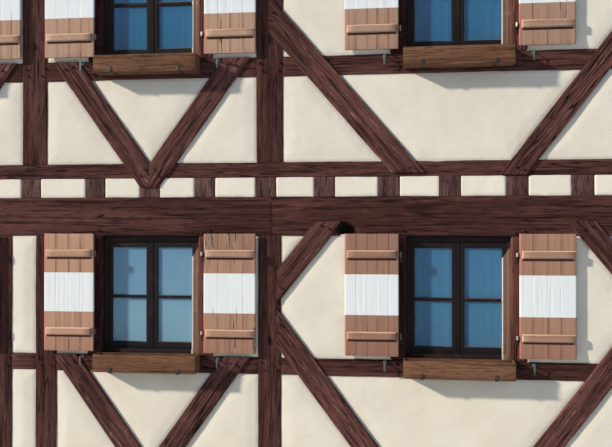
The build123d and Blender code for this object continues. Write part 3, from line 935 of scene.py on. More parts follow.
def outline_of(points):
    """The convex outline of points on the wall's face, anticlockwise as seen from the street."""
    flat = sorted({(round(x, 4), round(z, 4)) for x, _, z in points})

    def half(ordered):
        chain = []
        for p in ordered:
            while len(chain) > 1:
                (ax, az), (bx, bz) = chain[-2], chain[-1]
                if (bx - ax) * (p[1] - az) - (bz - az) * (p[0] - ax) > 1e-7:
                    break
                chain.pop()
            chain.append(p)
        return chain[:-1]

    ring = half(flat) + half(flat[::-1])
    return [Vector((x, 0, z)) for x, z in ring]


def lie_of(points):
    """The sides of a timber's outline, its direction and the one across, and its ends in both."""
    ring = outline_of(points)
    sides = list(zip(ring, ring[1:] + ring[:1]))
    start, end = max(sides, key=lambda side: (side[1] - side[0]).length)
    along = (end - start).normalized()
    across = Vector((-along.z, 0, along.x))
    reaches = [[p.dot(way) for p in ring] for way in (along, across)]
    return sides, along, across, *((min(reach), max(reach)) for reach in reaches)


print("posts in the ground storey:", len(solids_of("lower_posts")))

# %% [markdown]
# Timbers are put together in a bmesh, a kind of mesh that is quick to edit. A cut drops what
# lies beyond a plane, and closes the hole. A finished piece is one object for each node: its
# timbers joined, at the origin, riding on the body that the node belongs to, and standing in
# for the node.

# %% Join, cut and finish
SHARP_EDGE = math.radians(48)


def add_mesh(whole, mesh):
    """Adds a mesh to a bmesh and drops it."""
    whole.from_mesh(mesh)
    bpy.data.meshes.remove(mesh)


def joined(meshes):
    """One bmesh of several meshes, which are dropped."""
    whole = bmesh.new()
    for mesh in meshes:
        add_mesh(whole, mesh)
    return whole


def mesh_of(shape, name="part"):
    """The mesh of a bmesh, which is freed."""
    mesh = bpy.data.meshes.new(name)
    shape.to_mesh(mesh)
    shape.free()
    return mesh


def cut_off(shape, at, outward, close=True):
    """Cuts a closed shape with a plane, drops what lies outside and closes the cut."""
    geometry = shape.verts[:] + shape.edges[:] + shape.faces[:]
    cut = bmesh.ops.bisect_plane(
        shape, geom=geometry, plane_co=at, plane_no=outward, clear_outer=True
    )
    ring = [e for e in cut["geom_cut"] if isinstance(e, bmesh.types.BMEdge)]
    if ring and close:
        bmesh.ops.contextual_create(shape, geom=ring)


def piece_from(shape, name, materials, slot, nodes=(), body="wall", smooth=True):
    """Turns a bmesh into a finished object that rides on a body and stands for its nodes."""
    shape.normal_update()
    mesh = mesh_of(shape, name)
    for material in materials:
        mesh.materials.append(material)
    if smooth:
        mesh.shade_smooth()
        mesh.set_sharp_from_angle(angle=SHARP_EDGE)
    piece = bpy.data.objects.new(name, mesh)
    scene.collection.objects.link(piece)
    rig.ride(piece, body)
    if nodes:
        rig.replaces(piece, *nodes)
    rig.slot(piece, slot)
    print(name, sum(len(face.vertices) - 2 for face in mesh.polygons), "triangles")
    return piece


# %% [markdown]
# The frame is made of sills, posts, rails, studs, braces and a top plate. Plain boxes would look
# sawn and new, so the tree is run once for every timber, each with a seed of its own, and no
# two are alike. The studs beside the windows have the most worn arrises.

# %% Hew the timbers
OVERLAP = 0.003
CUT_MARGIN = 0.35
PARALLEL = 0.9975
HEWN = {"Step": 0.04, "Round": 0.009, "Sway": 0.0045, "Chop": 0.004, "Split": 0.009}
STUD_ROUND = 0.020
seed_count = iter(range(1, 1000))


def hew(along, across, centre, length, width, depth, material, **finish):
    """One timber along a direction, with its width across and its depth into the wall."""
    mesh = grow(
        hewn_timber, Length=length, Width=width, Depth=depth, Seed=float(next(seed_count)),
        Material=material, **{**HEWN, **finish},
    )
    through = across.cross(along)
    turn = Matrix((along, through, across)).transposed().to_4x4()
    mesh.transform(Matrix.Translation(centre) @ turn)
    return mesh


def hew_solid(points, material, **finish):
    """The hewn timber that stands for one solid of the frame."""
    sides, along, across, (start, end), (left, right) = lie_of(points)
    slanted = abs(along.x) > 0.05 and abs(along.z) > 0.05
    low, high = points[:, 1].min(), points[:, 1].max()
    centre = along * (start + end) / 2 + across * (left + right) / 2
    centre.y = (low + high) / 2
    length = end - start + 2 * (CUT_MARGIN if slanted else 0)
    width = right - left + 2 * OVERLAP
    mesh = hew(along, across, centre, length, width, high - low, material, **finish)
    if not slanted:
        return mesh
    shape = joined([mesh])
    for a, b in sides:
        edge = (b - a).normalized()
        if abs(edge.dot(along)) < PARALLEL:
            cut_off(shape, a, Vector((edge.z, 0, -edge.x)))
    return mesh_of(shape)


TIMBER_NODES = (
    "ground_sill", "lower_posts", "lower_rails", "lower_window_studs", "lower_v_braces",
    "lower_k_braces", "upper_sill", "upper_posts", "upper_rails",
    "upper_window_studs", "upper_v_braces", "upper_long_braces", "top_plate",
)
for node in TIMBER_NODES:
    whole = bmesh.new()
    # Studs right of a window take the painted sunlit oak, those to the left the painted shade oak
    sunny = 1 if "studs" in node else 0
    finish = {"Round": STUD_ROUND} if sunny else {}
    for index, points in enumerate(solids_of(node)):
        first = len(whole.faces)
        add_mesh(whole, hew_solid(points, frame_oak, **finish))
        whole.faces.ensure_lookup_table()
        for face in whole.faces[first:]:
            face.material_index = sunny * (index % 2)
    oaks = [shaded_stud_oak, sunlit_stud_oak] if sunny else [brace_oak if "braces" in node else frame_oak]
    piece_from(whole, f"hewn_{node}", oaks, "timber", [node])

# %% [markdown]
# The head beam is too long for one tree. Its two lengths are halved into each other over the
# middle post: the left one keeps its outer half up to the joint, the right one its inner half.
# From the street this scarf shows as one upright line. Beside the top of the left K brace, the beam's lower arris has
# rotted away into a hollow, which is painted black as its shade.

# %% The head beam's scarf
HALVING = 0.05
HOLLOW = Vector((1.35, 0, 2.405))
HOLLOW_HALF_SIZE = (0.105, 0.085)
HOLLOW_DEPTH = 0.055
HOLLOW_LEAN = 0.35
HOLLOW_FINENESS = 0.012
HOLLOW_SURROUND = 1.6
# How strongly the hollow is painted black, as its shade
HOLLOW_SHADE = 2.5


def rot_away(shape):
    """Hollows out the front of the beam beside a brace, and stores where to paint it black as its shade."""
    layer = shape.verts.layers.float.new("hollow")

    def reach(point):
        away = point - HOLLOW
        slant = away.x + HOLLOW_LEAN * away.z
        return math.hypot(slant / HOLLOW_HALF_SIZE[0], away.z / HOLLOW_HALF_SIZE[1])

    for _ in range(2):
        near = [
            e for e in shape.edges if e.calc_length() > HOLLOW_FINENESS
            and all(v.co.y < -HALVING and reach(v.co) < HOLLOW_SURROUND for v in e.verts)
        ]
        bmesh.ops.subdivide_edges(shape, edges=near, cuts=1, use_grid_fill=True)
    for vertex in shape.verts:
        share = reach(vertex.co)
        if share < 1 and vertex.co.y < -HALVING:
            vertex.co.y += HOLLOW_DEPTH * (1 - share ** 3)
            vertex[layer] = min(1.0, HOLLOW_SHADE * (1 - share))


for node, sign in (("head_beam_left", 1), ("head_beam_right", -1)):
    (points,) = solids_of(node)
    beam = hew_solid(points, frame_oak)
    whole = bmesh.new()
    for outer in (True, False):
        near = points[points[:, 1] < -HALVING, 0] if outer else points[points[:, 1] > HALVING, 0]
        end = near.max() if sign > 0 else near.min()
        half_beam = bmesh.new()
        half_beam.from_mesh(beam)
        cut_off(half_beam, Vector((end, 0, 0)), Vector((sign, 0, 0)))
        cut_off(half_beam, Vector(), Vector((0, 1 if outer else -1, 0)), close=False)
        add_mesh(whole, mesh_of(half_beam))
    bpy.data.meshes.remove(beam)
    bmesh.ops.remove_doubles(whole, verts=whole.verts, dist=MERGE_DISTANCE)
    bmesh.ops.contextual_create(whole, geom=[e for e in whole.edges if e.is_boundary])
    if sign < 0:
        rot_away(whole)
    piece_from(whole, f"hewn_{node}", [frame_oak], "timber", [node])

# %% [markdown]
# Joists, floor boards and the boards of boxes and shutters are plain boxes. Their grain runs
# along their longest side, and they are hewn or sawn with the same tree. A joist's cut end
# shows its year rings edge on, as upright lines, so its end stores upright coordinates.

# %% Boxes of wood
def axis(i):
    return Vector([1.0 if k == i else 0.0 for k in range(3)])


def wood_box(low, high, material, along=None, **finish):
    """A hewn or sawn box between two corners. Its grain runs along its longest side."""
    size = high - low
    order = sorted(range(3), key=lambda i: -size[i])
    if along is not None:
        order.sort(key=lambda i: i != along)
    sizes = (size[i] for i in order)
    return hew(axis(order[0]), axis(order[1]), (low + high) / 2, *sizes, material, **finish)


def corners(points):
    return Vector(points.min(axis=0).tolist()), Vector(points.max(axis=0).tolist())


JOIST_END_DEPTH = 0.015
whole = joined(
    wood_box(*corners(points), joist_oak, along=1, Split=0.0) for points in solids_of("floor_joists")
)
grain = whole.verts.layers.float_vector["grain"]
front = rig.box("floor_joists")[0].y + JOIST_END_DEPTH
for vertex in whole.verts:
    if vertex.co.y < front:
        vertex[grain] = (vertex.co.z * 2, vertex.co.y, vertex.co.x)
piece_from(whole, "hewn_floor_joists", [joist_oak], "timber", ["floor_joists"])

SAWN = {"Step": 0.08, "Round": 0.0025, "Sway": 0.001, "Chop": 0.0008, "Split": 0.0}
BOARD_GAP = Vector((0, 0.0008, 0))
whole = joined(
    wood_box(low + BOARD_GAP, high - BOARD_GAP, sawn_boards, **SAWN)
    for low, high in map(corners, solids_of("floor_boards"))
)
piece_from(whole, "sawn_floor_boards", [sawn_boards], "floor_wood", ["floor_boards"])

# %% [markdown]
# ## Plaster between the timbers
# The plasterer fills each field up to the timber and smooths it with a slight belly, so every panel is lowest where it
# meets a timber. A grid measures the distance to the nearest timber at each of its points. That distance gives both
# the belly and the grey line of the finish.

# %% Geometry Nodes: a coat of plaster
FACE = -0.100
PLASTER_STEP = 0.017


def plaster_tree():
    graph, given, made = new_group(
        "plaster_coat", "GeometryNodeTree",
        {
            "Width": "Float", "Height": "Float", "Step": "Float", "Centre": "Vector",
            "Timbers": "Object", "Recess": "Float", "Belly": "Float", "Uneven": "Float",
            "Material": "Material",
        },
        {"Geometry": "Geometry"},
    )
    grid = graph.add("GeometryNodeMeshGrid", {
        "Size X": given["Width"], "Size Y": given["Height"],
        "Vertices X": divisions(graph, given["Width"], given["Step"]),
        "Vertices Y": divisions(graph, given["Height"], given["Step"]),
    })[0]
    upright = graph.add("GeometryNodeTransform", {
        "Geometry": grid, "Translation": given["Centre"], "Rotation": (math.pi / 2, 0, 0),
    })[0]
    place = graph.add("GeometryNodeInputPosition")[0]
    timbers = graph.add("GeometryNodeObjectInfo", {"Object": given["Timbers"]})["Geometry"]
    nearest = graph.add(
        "GeometryNodeProximity", {0: timbers, "Sample Position": place}, target_element="FACES"
    )["Distance"]
    stored = graph.store(upright, "edge", nearest)
    edge = graph.recall("edge")
    lip = graph.step(edge, 0.0, 0.022)
    belly = graph.step(edge, 0.0, 0.13)
    broad = graph.noise(place, 3.1, 2.0)
    close = graph.noise(place, 13.0, 2.0)
    wave = broad - 0.5 + (close - 0.5) * 0.35
    rise = (lip * 0.45 + belly * 0.55) * given["Belly"] + wave * given["Uneven"]
    offset = graph.xyz(0.0, given["Recess"] - rise)
    coat = graph.add("GeometryNodeSetPosition", {"Geometry": stored, "Offset": offset})[0]
    return graph.finish(coat, given["Material"], made)


plaster_coat = plaster_tree()
count_nodes(plaster_coat)

# %% [markdown]
# A panel fills the wall right through, so the coat gets sides and a flat back at the wall's
# inner face. It reaches a little way into the timbers around it, so that no gap shows where
# their arrises sway.

# %% Plaster the panels
PLASTER_LAP = Vector((0.012, 0, 0.012))
INNER_FACE = 0.097


def timber_outline():
    """All squared timbers of the frame as one simple mesh, to measure distances from."""
    outline = bmesh.new()
    for node in TIMBER_NODES + ("head_beam_left", "head_beam_right"):
        outline.from_mesh(frame["nodes"][node].data)
    measure = bpy.data.objects.new("timber_outline", mesh_of(outline))
    scene.collection.objects.link(measure)
    return measure


def close_back(shape, mesh):
    """Adds a coat and gives it its thickness, back to the wall's inner face."""
    coat = bmesh.new()
    coat.from_mesh(mesh)
    rim = [e for e in coat.edges if e.is_boundary]
    grown = bmesh.ops.extrude_edge_only(coat, edges=rim)["geom"]
    for vertex in (v for v in grown if isinstance(v, bmesh.types.BMVert)):
        vertex.co.y = INNER_FACE
    back = [e for e in grown if isinstance(e, bmesh.types.BMEdge) and e.is_boundary]
    bmesh.ops.contextual_create(coat, geom=back)
    bmesh.ops.recalc_face_normals(coat, faces=coat.faces)
    coat.to_mesh(mesh)
    coat.free()
    add_mesh(shape, mesh)


measure = timber_outline()
for node in ("lower_panels", "upper_panels"):
    whole = bmesh.new()
    for points in solids_of(node):
        low, high = corners(points)
        low, high = low - PLASTER_LAP, high + PLASTER_LAP
        centre = (low + high) / 2
        centre.y = FACE
        close_back(whole, grow(
            plaster_coat, Width=high.x - low.x, Height=high.z - low.z, Step=PLASTER_STEP,
            Centre=centre, Timbers=measure, Recess=0.013, Belly=0.014, Uneven=0.006,
            Material=panel_plaster,
        ))
    piece_from(whole, f"plaster_{node}", [panel_plaster], "plaster", [node])
bpy.data.objects.remove(measure)

# %% [markdown]
# Between the joist ends the plaster stands proud and has rounded corners, like a cushion. The
# tree of the timbers also makes these blocks: only the rounding is wider, and they don't split.

# %% Blocks between the joists
CUSHION = {"Step": 0.012, "Round": 0.011, "Sway": 0.004, "Chop": 0.005, "Split": 0.0}
BLOCK_PROUD = Vector((0, 0.006, 0))
whole = joined(
    wood_box(low - BLOCK_PROUD, high, block_plaster, along=0, **CUSHION)
    for low, high in map(corners, solids_of("joist_infill"))
)
piece_from(whole, "plaster_joist_infill", [block_plaster], "plaster", ["joist_infill"])

# %% [markdown]
# ## Shutters
# A leaf is four or five upright boards, held together by two battens and nailed through. On
# its other side it has two strap hinges, whose knuckles turn on the pintles. Every leaf is a
# body of its own, so it is one piece with all of its parts on it.

# %% Nails and pegs
def stud_tree():
    graph, given, made = new_group(
        "studs", "GeometryNodeTree",
        {
            "Geometry": "Geometry", "Radius": "Float", "Top": "Float", "Height": "Float",
            "Sides": "Int", "Material": "Material",
        },
        {"Geometry": "Geometry"},
    )
    points = graph.add("GeometryNodeMeshToPoints", {0: given["Geometry"]})[0]
    head = graph.add("GeometryNodeMeshCone", {
        "Vertices": given["Sides"], "Radius Top": given["Top"], "Radius Bottom": given["Radius"],
        "Depth": given["Height"],
    })["Mesh"]
    index = graph.add("GeometryNodeInputIndex")[0]
    spin = graph.random(index, 0.0, 6.28, 3)
    turn = graph.xyz(math.pi / 2, spin)
    size = graph.random(index, 0.85, 1.15, 8)
    heads = graph.add("GeometryNodeInstanceOnPoints", {
        "Points": points, "Instance": head, "Rotation": turn, "Scale": size,
    })[0]
    return graph.finish(heads, given["Material"], made)


studs = stud_tree()


def studs_at(places, radius, height, material, top=0.6, sides=8):
    """Nail or peg heads at these places, standing out towards the street."""
    base = bpy.data.meshes.new("places")
    base.from_pydata([tuple(p) for p in places], [], [])
    return grow(
        studs, base, Radius=radius, Top=radius * top, Height=height, Sides=sides,
        Material=material,
    )


count_nodes(studs)

# %% [markdown]
# Flat iron bends and tapers, but its section stays a flat rectangle. So a strap is described by
# stations along its path: a point, the direction of its thickness, and how wide it is there.

# %% Straps and knuckles
def bridge(shape, rings, slot_index):
    """Joins each ring of vertices to the next one with faces."""
    for one, other in zip(rings, rings[1:]):
        for i in range(len(one)):
            j = (i + 1) % len(one)
            face = shape.faces.new((one[i], one[j], other[j], other[i]))
            face.material_index = slot_index


def ribbon(shape, stations, slot_index):
    """A closed strip through stations of centre, half thickness and half width vectors."""
    rings = []
    for centre, thick, wide in stations:
        ring = [centre + a * thick + b * wide for a, b in ((-1, -1), (1, -1), (1, 1), (-1, 1))]
        rings.append([shape.verts.new(p) for p in ring])
    for end in (rings[0][::-1], rings[-1]):
        shape.faces.new(end).material_index = slot_index
    bridge(shape, rings, slot_index)


def knuckle(shape, centre, radius, bore, height, slot_index, sides=20):
    """A short upright tube."""
    rings = []
    for r, z in ((radius, -0.5), (radius, 0.5), (bore, 0.5), (bore, -0.5)):
        ring = []
        for i in range(sides):
            turn = 2 * math.pi * i / sides
            ring.append(shape.verts.new(
                centre + Vector((r * math.cos(turn), r * math.sin(turn), z * height))
            ))
        rings.append(ring)
    bridge(shape, rings + rings[:1], slot_index)


BOARD = 0.025
KNUCKLE = 0.011
BORE = 0.0065
STRAP = 0.003
STRAP_WIDTH = 0.034
STRAP_LENGTH = 0.350


def hinge_strap(shape, hinge, side, z, index):
    """One strap hinge on the wall side of a leaf, from its knuckle to its pointed end."""
    deep = hinge.y + BOARD + STRAP
    path = [
        (0.004, hinge.y + KNUCKLE - STRAP, 1.0), (0.015, deep - 0.001, 1.0), (0.03, deep, 1.0),
        (0.10, deep, 0.9), (0.22, deep, 0.72), (0.31, deep, 0.62), (0.325, deep, 0.95),
        (0.338, deep, 0.7), (STRAP_LENGTH, deep, 0.1),
    ]
    stations = []
    for run, y, share in path:
        centre = Vector((hinge.x + side * run, y, z))
        thick = Vector((-side * STRAP * 0.7, STRAP * 0.7, 0)) if run < 0.01 else Vector((0, STRAP, 0))
        stations.append((centre, thick, Vector((0, 0, STRAP_WIDTH / 2 * share))))
    ribbon(shape, stations, index)
    # Right-hand leaves get the pale knuckle as a painted highlight, left-hand ones the dark iron as painted shade
    painted_knuckle_light = index + 1 if side > 0 else index
    knuckle(shape, Vector((hinge.x, hinge.y, z)), KNUCKLE, BORE, STRAP_WIDTH, painted_knuckle_light)


print("straps", STRAP_LENGTH, "m long, knuckles", 2 * KNUCKLE, "m thick")

# %% [markdown]
# A leaf could be one slab with seams painted on, but light and shade show every joint. So each
# board is planed by itself, with an arris taken off at the leaf's edge, and a batten has all of
# its outer arrises taken off. Each board then stores where it lies, because the paint reads it.

# %% Boards and battens
HINGE_GAP = 0.020
BATTEN = 0.025
BATTEN_HEIGHT = 0.074
BATTEN_INSET = 0.190
BATTEN_SIDE = 0.022
BATTEN_FLUSH = 0.003
BATTEN_BEVEL = 0.010
EDGE_BEVEL = 0.006
EDGE_SLOPE = 1.2
BOARD_SHARES = (
    (0.0, 0.27, 0.51, 0.76, 1.0), (0.0, 0.21, 0.42, 0.60, 0.81, 1.0), (0.0, 0.24, 0.50, 0.73, 1.0),
)
NAIL_SPREAD = ((-0.022, 0.016), (0.022, -0.016))
NAIL_HEAD = {"radius": 0.0042, "height": 0.003}
# Battens and nails are stored as if their edges lay this far off, so no seam is painted on them
FAR_AWAY = 9
LEAF_BOARD = {"Step": 0.05, "Round": 0.0003, "Sway": 0.0002, "Chop": 0.0008, "Split": 0.0022}
LEAF_BATTEN = {"Step": 0.05, "Round": 0.003, "Sway": 0.0008, "Chop": 0.0012, "Split": 0.003}
# How far the sun has faded the top of a leaf and the rest, and how much its paint has split
AGE = {
    "lower_middle_shutter_left": (0.05, 0.0, 0.0), "lower_middle_shutter_right": (0.9, 0.35, 1.0),
    "lower_right_shutter_left": (1.0, 0.85, 0.3), "lower_right_shutter_right": (0.55, 0.6, 0.25),
    "upper_middle_shutter_left": (0.2, 0.1, 0.1), "upper_middle_shutter_right": (0.1, 0.0, 0.2),
    "upper_right_shutter_left": (0.5, 0.5, 0.2), "upper_right_shutter_right": (0.6, 0.6, 0.3),
}
YOUNG = (0.2, 0.1, 0.3)


def bevelled(mesh, cuts):
    """A mesh with some of its arrises planed off: each cut is a point and its outward normal."""
    shape = joined([mesh])
    for at, outward in cuts:
        cut_off(shape, at, outward.normalized())
    return mesh_of(shape)


def store_places(whole, spans, left, width, low, high, number, age):
    """Stores where each vertex is on its leaf and on its board, for the paint."""
    layers = whole.verts.layers.float_vector
    leaf_layer, board_layer, age_layer = (layers.new(name) for name in ("leaf", "board", "age"))
    whole.verts.ensure_lookup_table()
    for first, last, start, end, batten, at_left, at_right in spans:
        for vertex in whole.verts[first:last]:
            across, rise = (vertex.co.x - left) / width, (vertex.co.z - low) / (high - low)
            vertex[leaf_layer] = (across, rise, number)
            along = (vertex.co.x - start) / (end - start)
            along = max(along, 0.5) if at_left else along
            along = min(along, 0.5) if at_right else along
            vertex[board_layer] = (along, batten, 0.0)
            vertex[age_layer] = age


def shutter(index, node):
    """One painted leaf with its boards, battens, nails and strap hinges."""
    side = 1 if node.endswith("right") else -1
    low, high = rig.box(node)
    hinge = Vector((low.x + KNUCKLE if side > 0 else high.x - KNUCKLE, low.y + BATTEN, low.z))
    near, far = hinge.x + side * HINGE_GAP, (high.x if side > 0 else low.x)
    left, width = min(near, far), abs(far - near)
    shares = BOARD_SHARES[index % len(BOARD_SHARES)]
    board_ends = list(zip(shares, shares[1:]))
    whole, spans = bmesh.new(), []

    def add(mesh, *place):
        first = len(whole.verts)
        add_mesh(whole, mesh)
        spans.append((first, len(whole.verts), *place))

    for a, b in board_ends:
        start = Vector((left + a * width, hinge.y, low.z))
        end = Vector((left + b * width, hinge.y + BOARD, high.z))
        board, cuts = wood_box(start, end, shutter_coat, **LEAF_BOARD), []
        if a == 0:
            cuts = [(Vector((left + EDGE_BEVEL, start.y, 0)), Vector((-1, -EDGE_SLOPE, 0)))]
        if b == 1:
            cuts = [(Vector((end.x - EDGE_BEVEL, start.y, 0)), Vector((1, -EDGE_SLOPE, 0)))]
        add(bevelled(board, cuts), start.x, end.x, 0.0, a == 0, b == 1)
    levels = (low.z + BATTEN_INSET, high.z - BATTEN_INSET)
    nails = []
    for level in levels:
        a, b = near + side * BATTEN_SIDE, far - side * (BATTEN_FLUSH if side > 0 else BATTEN_SIDE)
        start = Vector((min(a, b), hinge.y - BATTEN, level - BATTEN_HEIGHT / 2))
        end = Vector((max(a, b), hinge.y, level + BATTEN_HEIGHT / 2))
        arrises = [
            (Vector((x, start.y + BATTEN_BEVEL, z)), Vector((dx, -1, dz)))
            for x, z, dx, dz in (
                (0, end.z, 0, 1), (0, start.z, 0, -1), (start.x, 0, -1, 0), (end.x, 0, 1, 0),
            )
        ]
        batten = bevelled(wood_box(start, end, shutter_coat, **LEAF_BATTEN), arrises)
        add(batten, start.x - FAR_AWAY, end.x + FAR_AWAY, 1.0, False, False)
        for a, b in board_ends:
            middle = left + width * (a + b) / 2
            nails += [(middle + dx, hinge.y - BATTEN, level + dz) for dx, dz in NAIL_SPREAD]
    heads = studs_at(nails, material=shutter_coat, **NAIL_HEAD)
    add(heads, left - FAR_AWAY, left + FAR_AWAY, 1.0, False, False)
    wall_low, wall_high = cad_bounds
    number = (hinge.x - wall_low.x) / (wall_high.x - wall_low.x) + 0.02 * low.z
    store_places(whole, spans, left, width, low.z, high.z, number, AGE.get(node, YOUNG))
    for face in whole.faces:
        face.material_index = 0
    for level in levels:
        hinge_strap(whole, hinge, side, level, 1)
    materials = [shutter_coat, iron, sunlit_knuckle_iron]
    piece_from(whole, f"painted_{node}", materials, "shutter_wood", [node], body=node)


leaves = [n for n in frame["nodes"] if "_shutter_" in n and "catches" not in n]
for index, node in enumerate(leaves):
    shutter(index, node)
print(len(leaves), "leaves")

# %% [markdown]
# ## Windows
# Frames, casements and glazing bars are planed and painted, so their shapes come from the frame as they are. Only
# their sharp arrises are taken off, because light catches on a real edge, and those of the casements are paler, worn
# and partly a painted highlight. Pintles, catches and brackets are forged, and get the same.

# %% Softened copies
ARRIS_ANGLE = 0.5
ROUNDING_STEPS = 2


def softened(node, name, materials, slot, width, lines=()):
    """A copy of a node whose arrises are rounded, riding on the wall in the node's place. Where
    there is a second material, the arrises have it. Each line is a plane, a point and a normal,
    that parts the faces, so that both sides can have a paint of their own."""
    shape = bmesh.new()
    shape.from_mesh(frame["nodes"][node].data)
    bmesh.ops.remove_doubles(shape, verts=shape.verts, dist=MERGE_DISTANCE)
    bmesh.ops.dissolve_limit(
        shape, angle_limit=0.01, verts=shape.verts, edges=shape.edges, use_dissolve_boundaries=False
    )
    arrises = [e for e in shape.edges if e.is_manifold and e.calc_face_angle() > ARRIS_ANGLE]
    for face in shape.faces:
        face.material_index = 0
    rounded = bmesh.ops.bevel(
        shape, geom=arrises, offset=width, segments=ROUNDING_STEPS, profile=0.5, affect="EDGES",
        clamp_overlap=True,
    )
    for face in rounded["faces"]:
        face.material_index = len(materials) - 1
    for at, normal in lines:
        everything = [*shape.verts, *shape.edges, *shape.faces]
        bmesh.ops.bisect_plane(shape, geom=everything, plane_co=at, plane_no=normal, dist=1e-6)
    return piece_from(shape, name, materials, slot, [node])


# %% [markdown]
# The right-hand stile of each window faces the sun. Below a painted slanting shadow of the window's head it takes a
# paler brown as painted sunlight, and a line of putty, painted as a highlight, runs beside its pane. A thin strip
# covers the joint between the two casements. The panes are flat, and get the glass as they are.

# %% Windows and irons
FORGED_BEVEL = 0.0012
PLATE_DEPTH = 0.02
STILE_SHOWN = 0.005
STILE_WIDTH = 0.2
WINDOW_APART = 0.5
SHADED_HEAD = 0.10
SHADE_NORMAL = (-0.83, 0, 0.55)
SUNLIT_PUTTY_WIDTH = 0.013
COVER_HALF_WIDTH = 0.011
COVER_THICKNESS = 0.006


def paint_stiles(piece, ends, head):
    """Paints sunlight right of the last panes, below the head's painted shadow, with a highlight line of putty."""
    for face in piece.data.polygons:
        past = min((face.center.x - end for end in ends), key=abs)
        rise = past * SHADE_NORMAL[0] + (face.center.z - head) * SHADE_NORMAL[2]
        # Painted highlight: the pale arris paint stays only on arrises that face up, on the right-hand casement
        if face.material_index == 1 and face.normal.z < 0.3:
            face.material_index = 0
        if 0 < past < STILE_WIDTH and face.normal.y < 0.5 and rise < 0:
            face.material_index = 3 if past < SUNLIT_PUTTY_WIDTH else 2
        elif face.material_index == 1 and past < -WINDOW_APART:
            face.material_index = 0


for storey in ("lower", "upper"):
    panes = frame["nodes"][f"{storey}_glass"].data
    pane_x = np.array(sorted(vertex.co.x for vertex in panes.vertices))
    groups = np.split(pane_x, np.flatnonzero(np.diff(pane_x) > WINDOW_APART) + 1)
    ends = [group.max() - STILE_SHOWN for group in groups]
    head = max(vertex.co.z for vertex in panes.vertices) - SHADED_HEAD
    lines = [((end + past, 0, 0), (1, 0, 0)) for end in ends for past in (0, SUNLIT_PUTTY_WIDTH)]
    lines += [((end, 0, head), SHADE_NORMAL) for end in ends]
    print(storey, "windows: last pane ends at x", [round(float(end), 3) for end in ends])
    # Painted light: the third paint is sunlight on the right-hand stile, and the fourth is a putty line painted as a
    # highlight
    for node, materials, width in (
        ("window_frames", [frame_paint, frame_paint, bleach_and_painted_sun, putty], 0.003),
        ("casements", [window_paint, worn_and_lit_arris, bleach_and_painted_sun, putty], 0.002),
    ):
        name = f"{storey}_painted_{node.split('_')[-1]}"
        piece = softened(f"{storey}_{node}", name, materials[:2], "window_wood", width, lines=lines)
        for material in materials[2:]:
            piece.data.materials.append(material)
        paint_stiles(piece, ends, head)
    low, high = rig.box(f"{storey}_casements")
    strips = bmesh.new()
    thick, wide = Vector((0, COVER_THICKNESS / 2, 0)), Vector((COVER_HALF_WIDTH, 0, 0))
    for group in groups:
        middle = (group.min() + group.max()) / 2
        ribbon(strips, [
            (Vector((middle, low.y - COVER_THICKNESS / 2, z)), thick, wide) for z in (low.z, high.z)
        ], 0)
    bmesh.ops.recalc_face_normals(strips, faces=strips.faces)
    piece_from(strips, f"{storey}_cover_strips", [window_paint], "window_wood", smooth=False)
    panes.materials.clear()
    panes.materials.append(glass)
    for node, name, metal in (
        ("pintles", "pintles", plate_paint), ("shutter_catches", "catches", catch_iron),
        ("box_brackets", "brackets", iron),
    ):
        piece = softened(
            f"{storey}_{node}", f"{storey}_forged_{name}", [metal], "iron", FORGED_BEVEL,
        )
        if node == "pintles":
            piece.data.materials.append(iron)
            plate_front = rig.box(f"{storey}_pintles")[1].y - PLATE_DEPTH
            for face in piece.data.polygons:
                face.material_index = int(face.center.y < plate_front)

# %% [markdown]
# ## Flower boxes
# Each box is nailed together from sawn boards: a front and a back, two ends between them, and
# a bottom. It is empty, so its inside shows from above.

# %% Flower boxes
BOX_WALL = 0.018
NAIL_SHARES = (0.2, 0.5, 0.8)
BOX_NAIL = {"radius": 0.004, "height": 0.0025}
BOX_BOARD = {"Step": 0.06, "Round": 0.0025, "Sway": 0.0008, "Chop": 0.001, "Split": 0.0}


def box_boards(low, high):
    """The five boards of an open box: front, back, two ends and the bottom."""
    one, other = low + Vector((BOX_WALL, BOX_WALL, 0)), high - Vector((BOX_WALL, BOX_WALL, 0))
    boards = (
        (low, (high.x, one.y, high.z)), ((low.x, other.y, low.z), high),
        ((low.x, one.y, low.z), (one.x, other.y, high.z)),
        ((other.x, one.y, low.z), (high.x, other.y, high.z)),
        (one, (other.x, other.y, low.z + BOX_WALL)),
    )
    return [wood_box(Vector(a), Vector(b), box_oak, **BOX_BOARD) for a, b in boards]


for storey in ("lower", "upper"):
    boards, nails = [], []
    for points in solids_of(f"{storey}_flower_boxes"):
        low, high = corners(points)
        boards += box_boards(low, high)
        for x in (low.x + BOX_WALL / 2, high.x - BOX_WALL / 2):
            nails += [(x, low.y, low.z + share * (high.z - low.z)) for share in NAIL_SHARES]
    whole = joined(boards)
    wood_faces = len(whole.faces)
    add_mesh(whole, studs_at(nails, material=iron, **BOX_NAIL))
    for i, face in enumerate(whole.faces):
        face.material_index = int(i >= wood_faces)
    node = f"{storey}_flower_boxes"
    piece_from(whole, f"{storey}_nailed_boxes", [box_oak, iron], "box_wood", [node])

# %% [markdown]
# ## Curtains
# A net curtain hangs in two halves from a rod behind each window. It is cut wider than the window, and its fullness
# falls in soft folds. The folds are drawn as a wave whose depth grows downwards. Each vertex stores how pale the net
# is painted there: pale where the cloth crowds on the ridges towards the street, partly a painted highlight, and dark
# in the hollows, where a single layer shows the painted shade of the room behind. The sheet gets a small thickness, so
# that both sides are closed.

# %% One half of a curtain
CURTAIN_Y = 0.062
FOLDS = 6
FOLD_STEPS = 14
FOLD_DEPTH = 0.015
CURTAIN_ROWS = 14
CLOTH = 0.0008


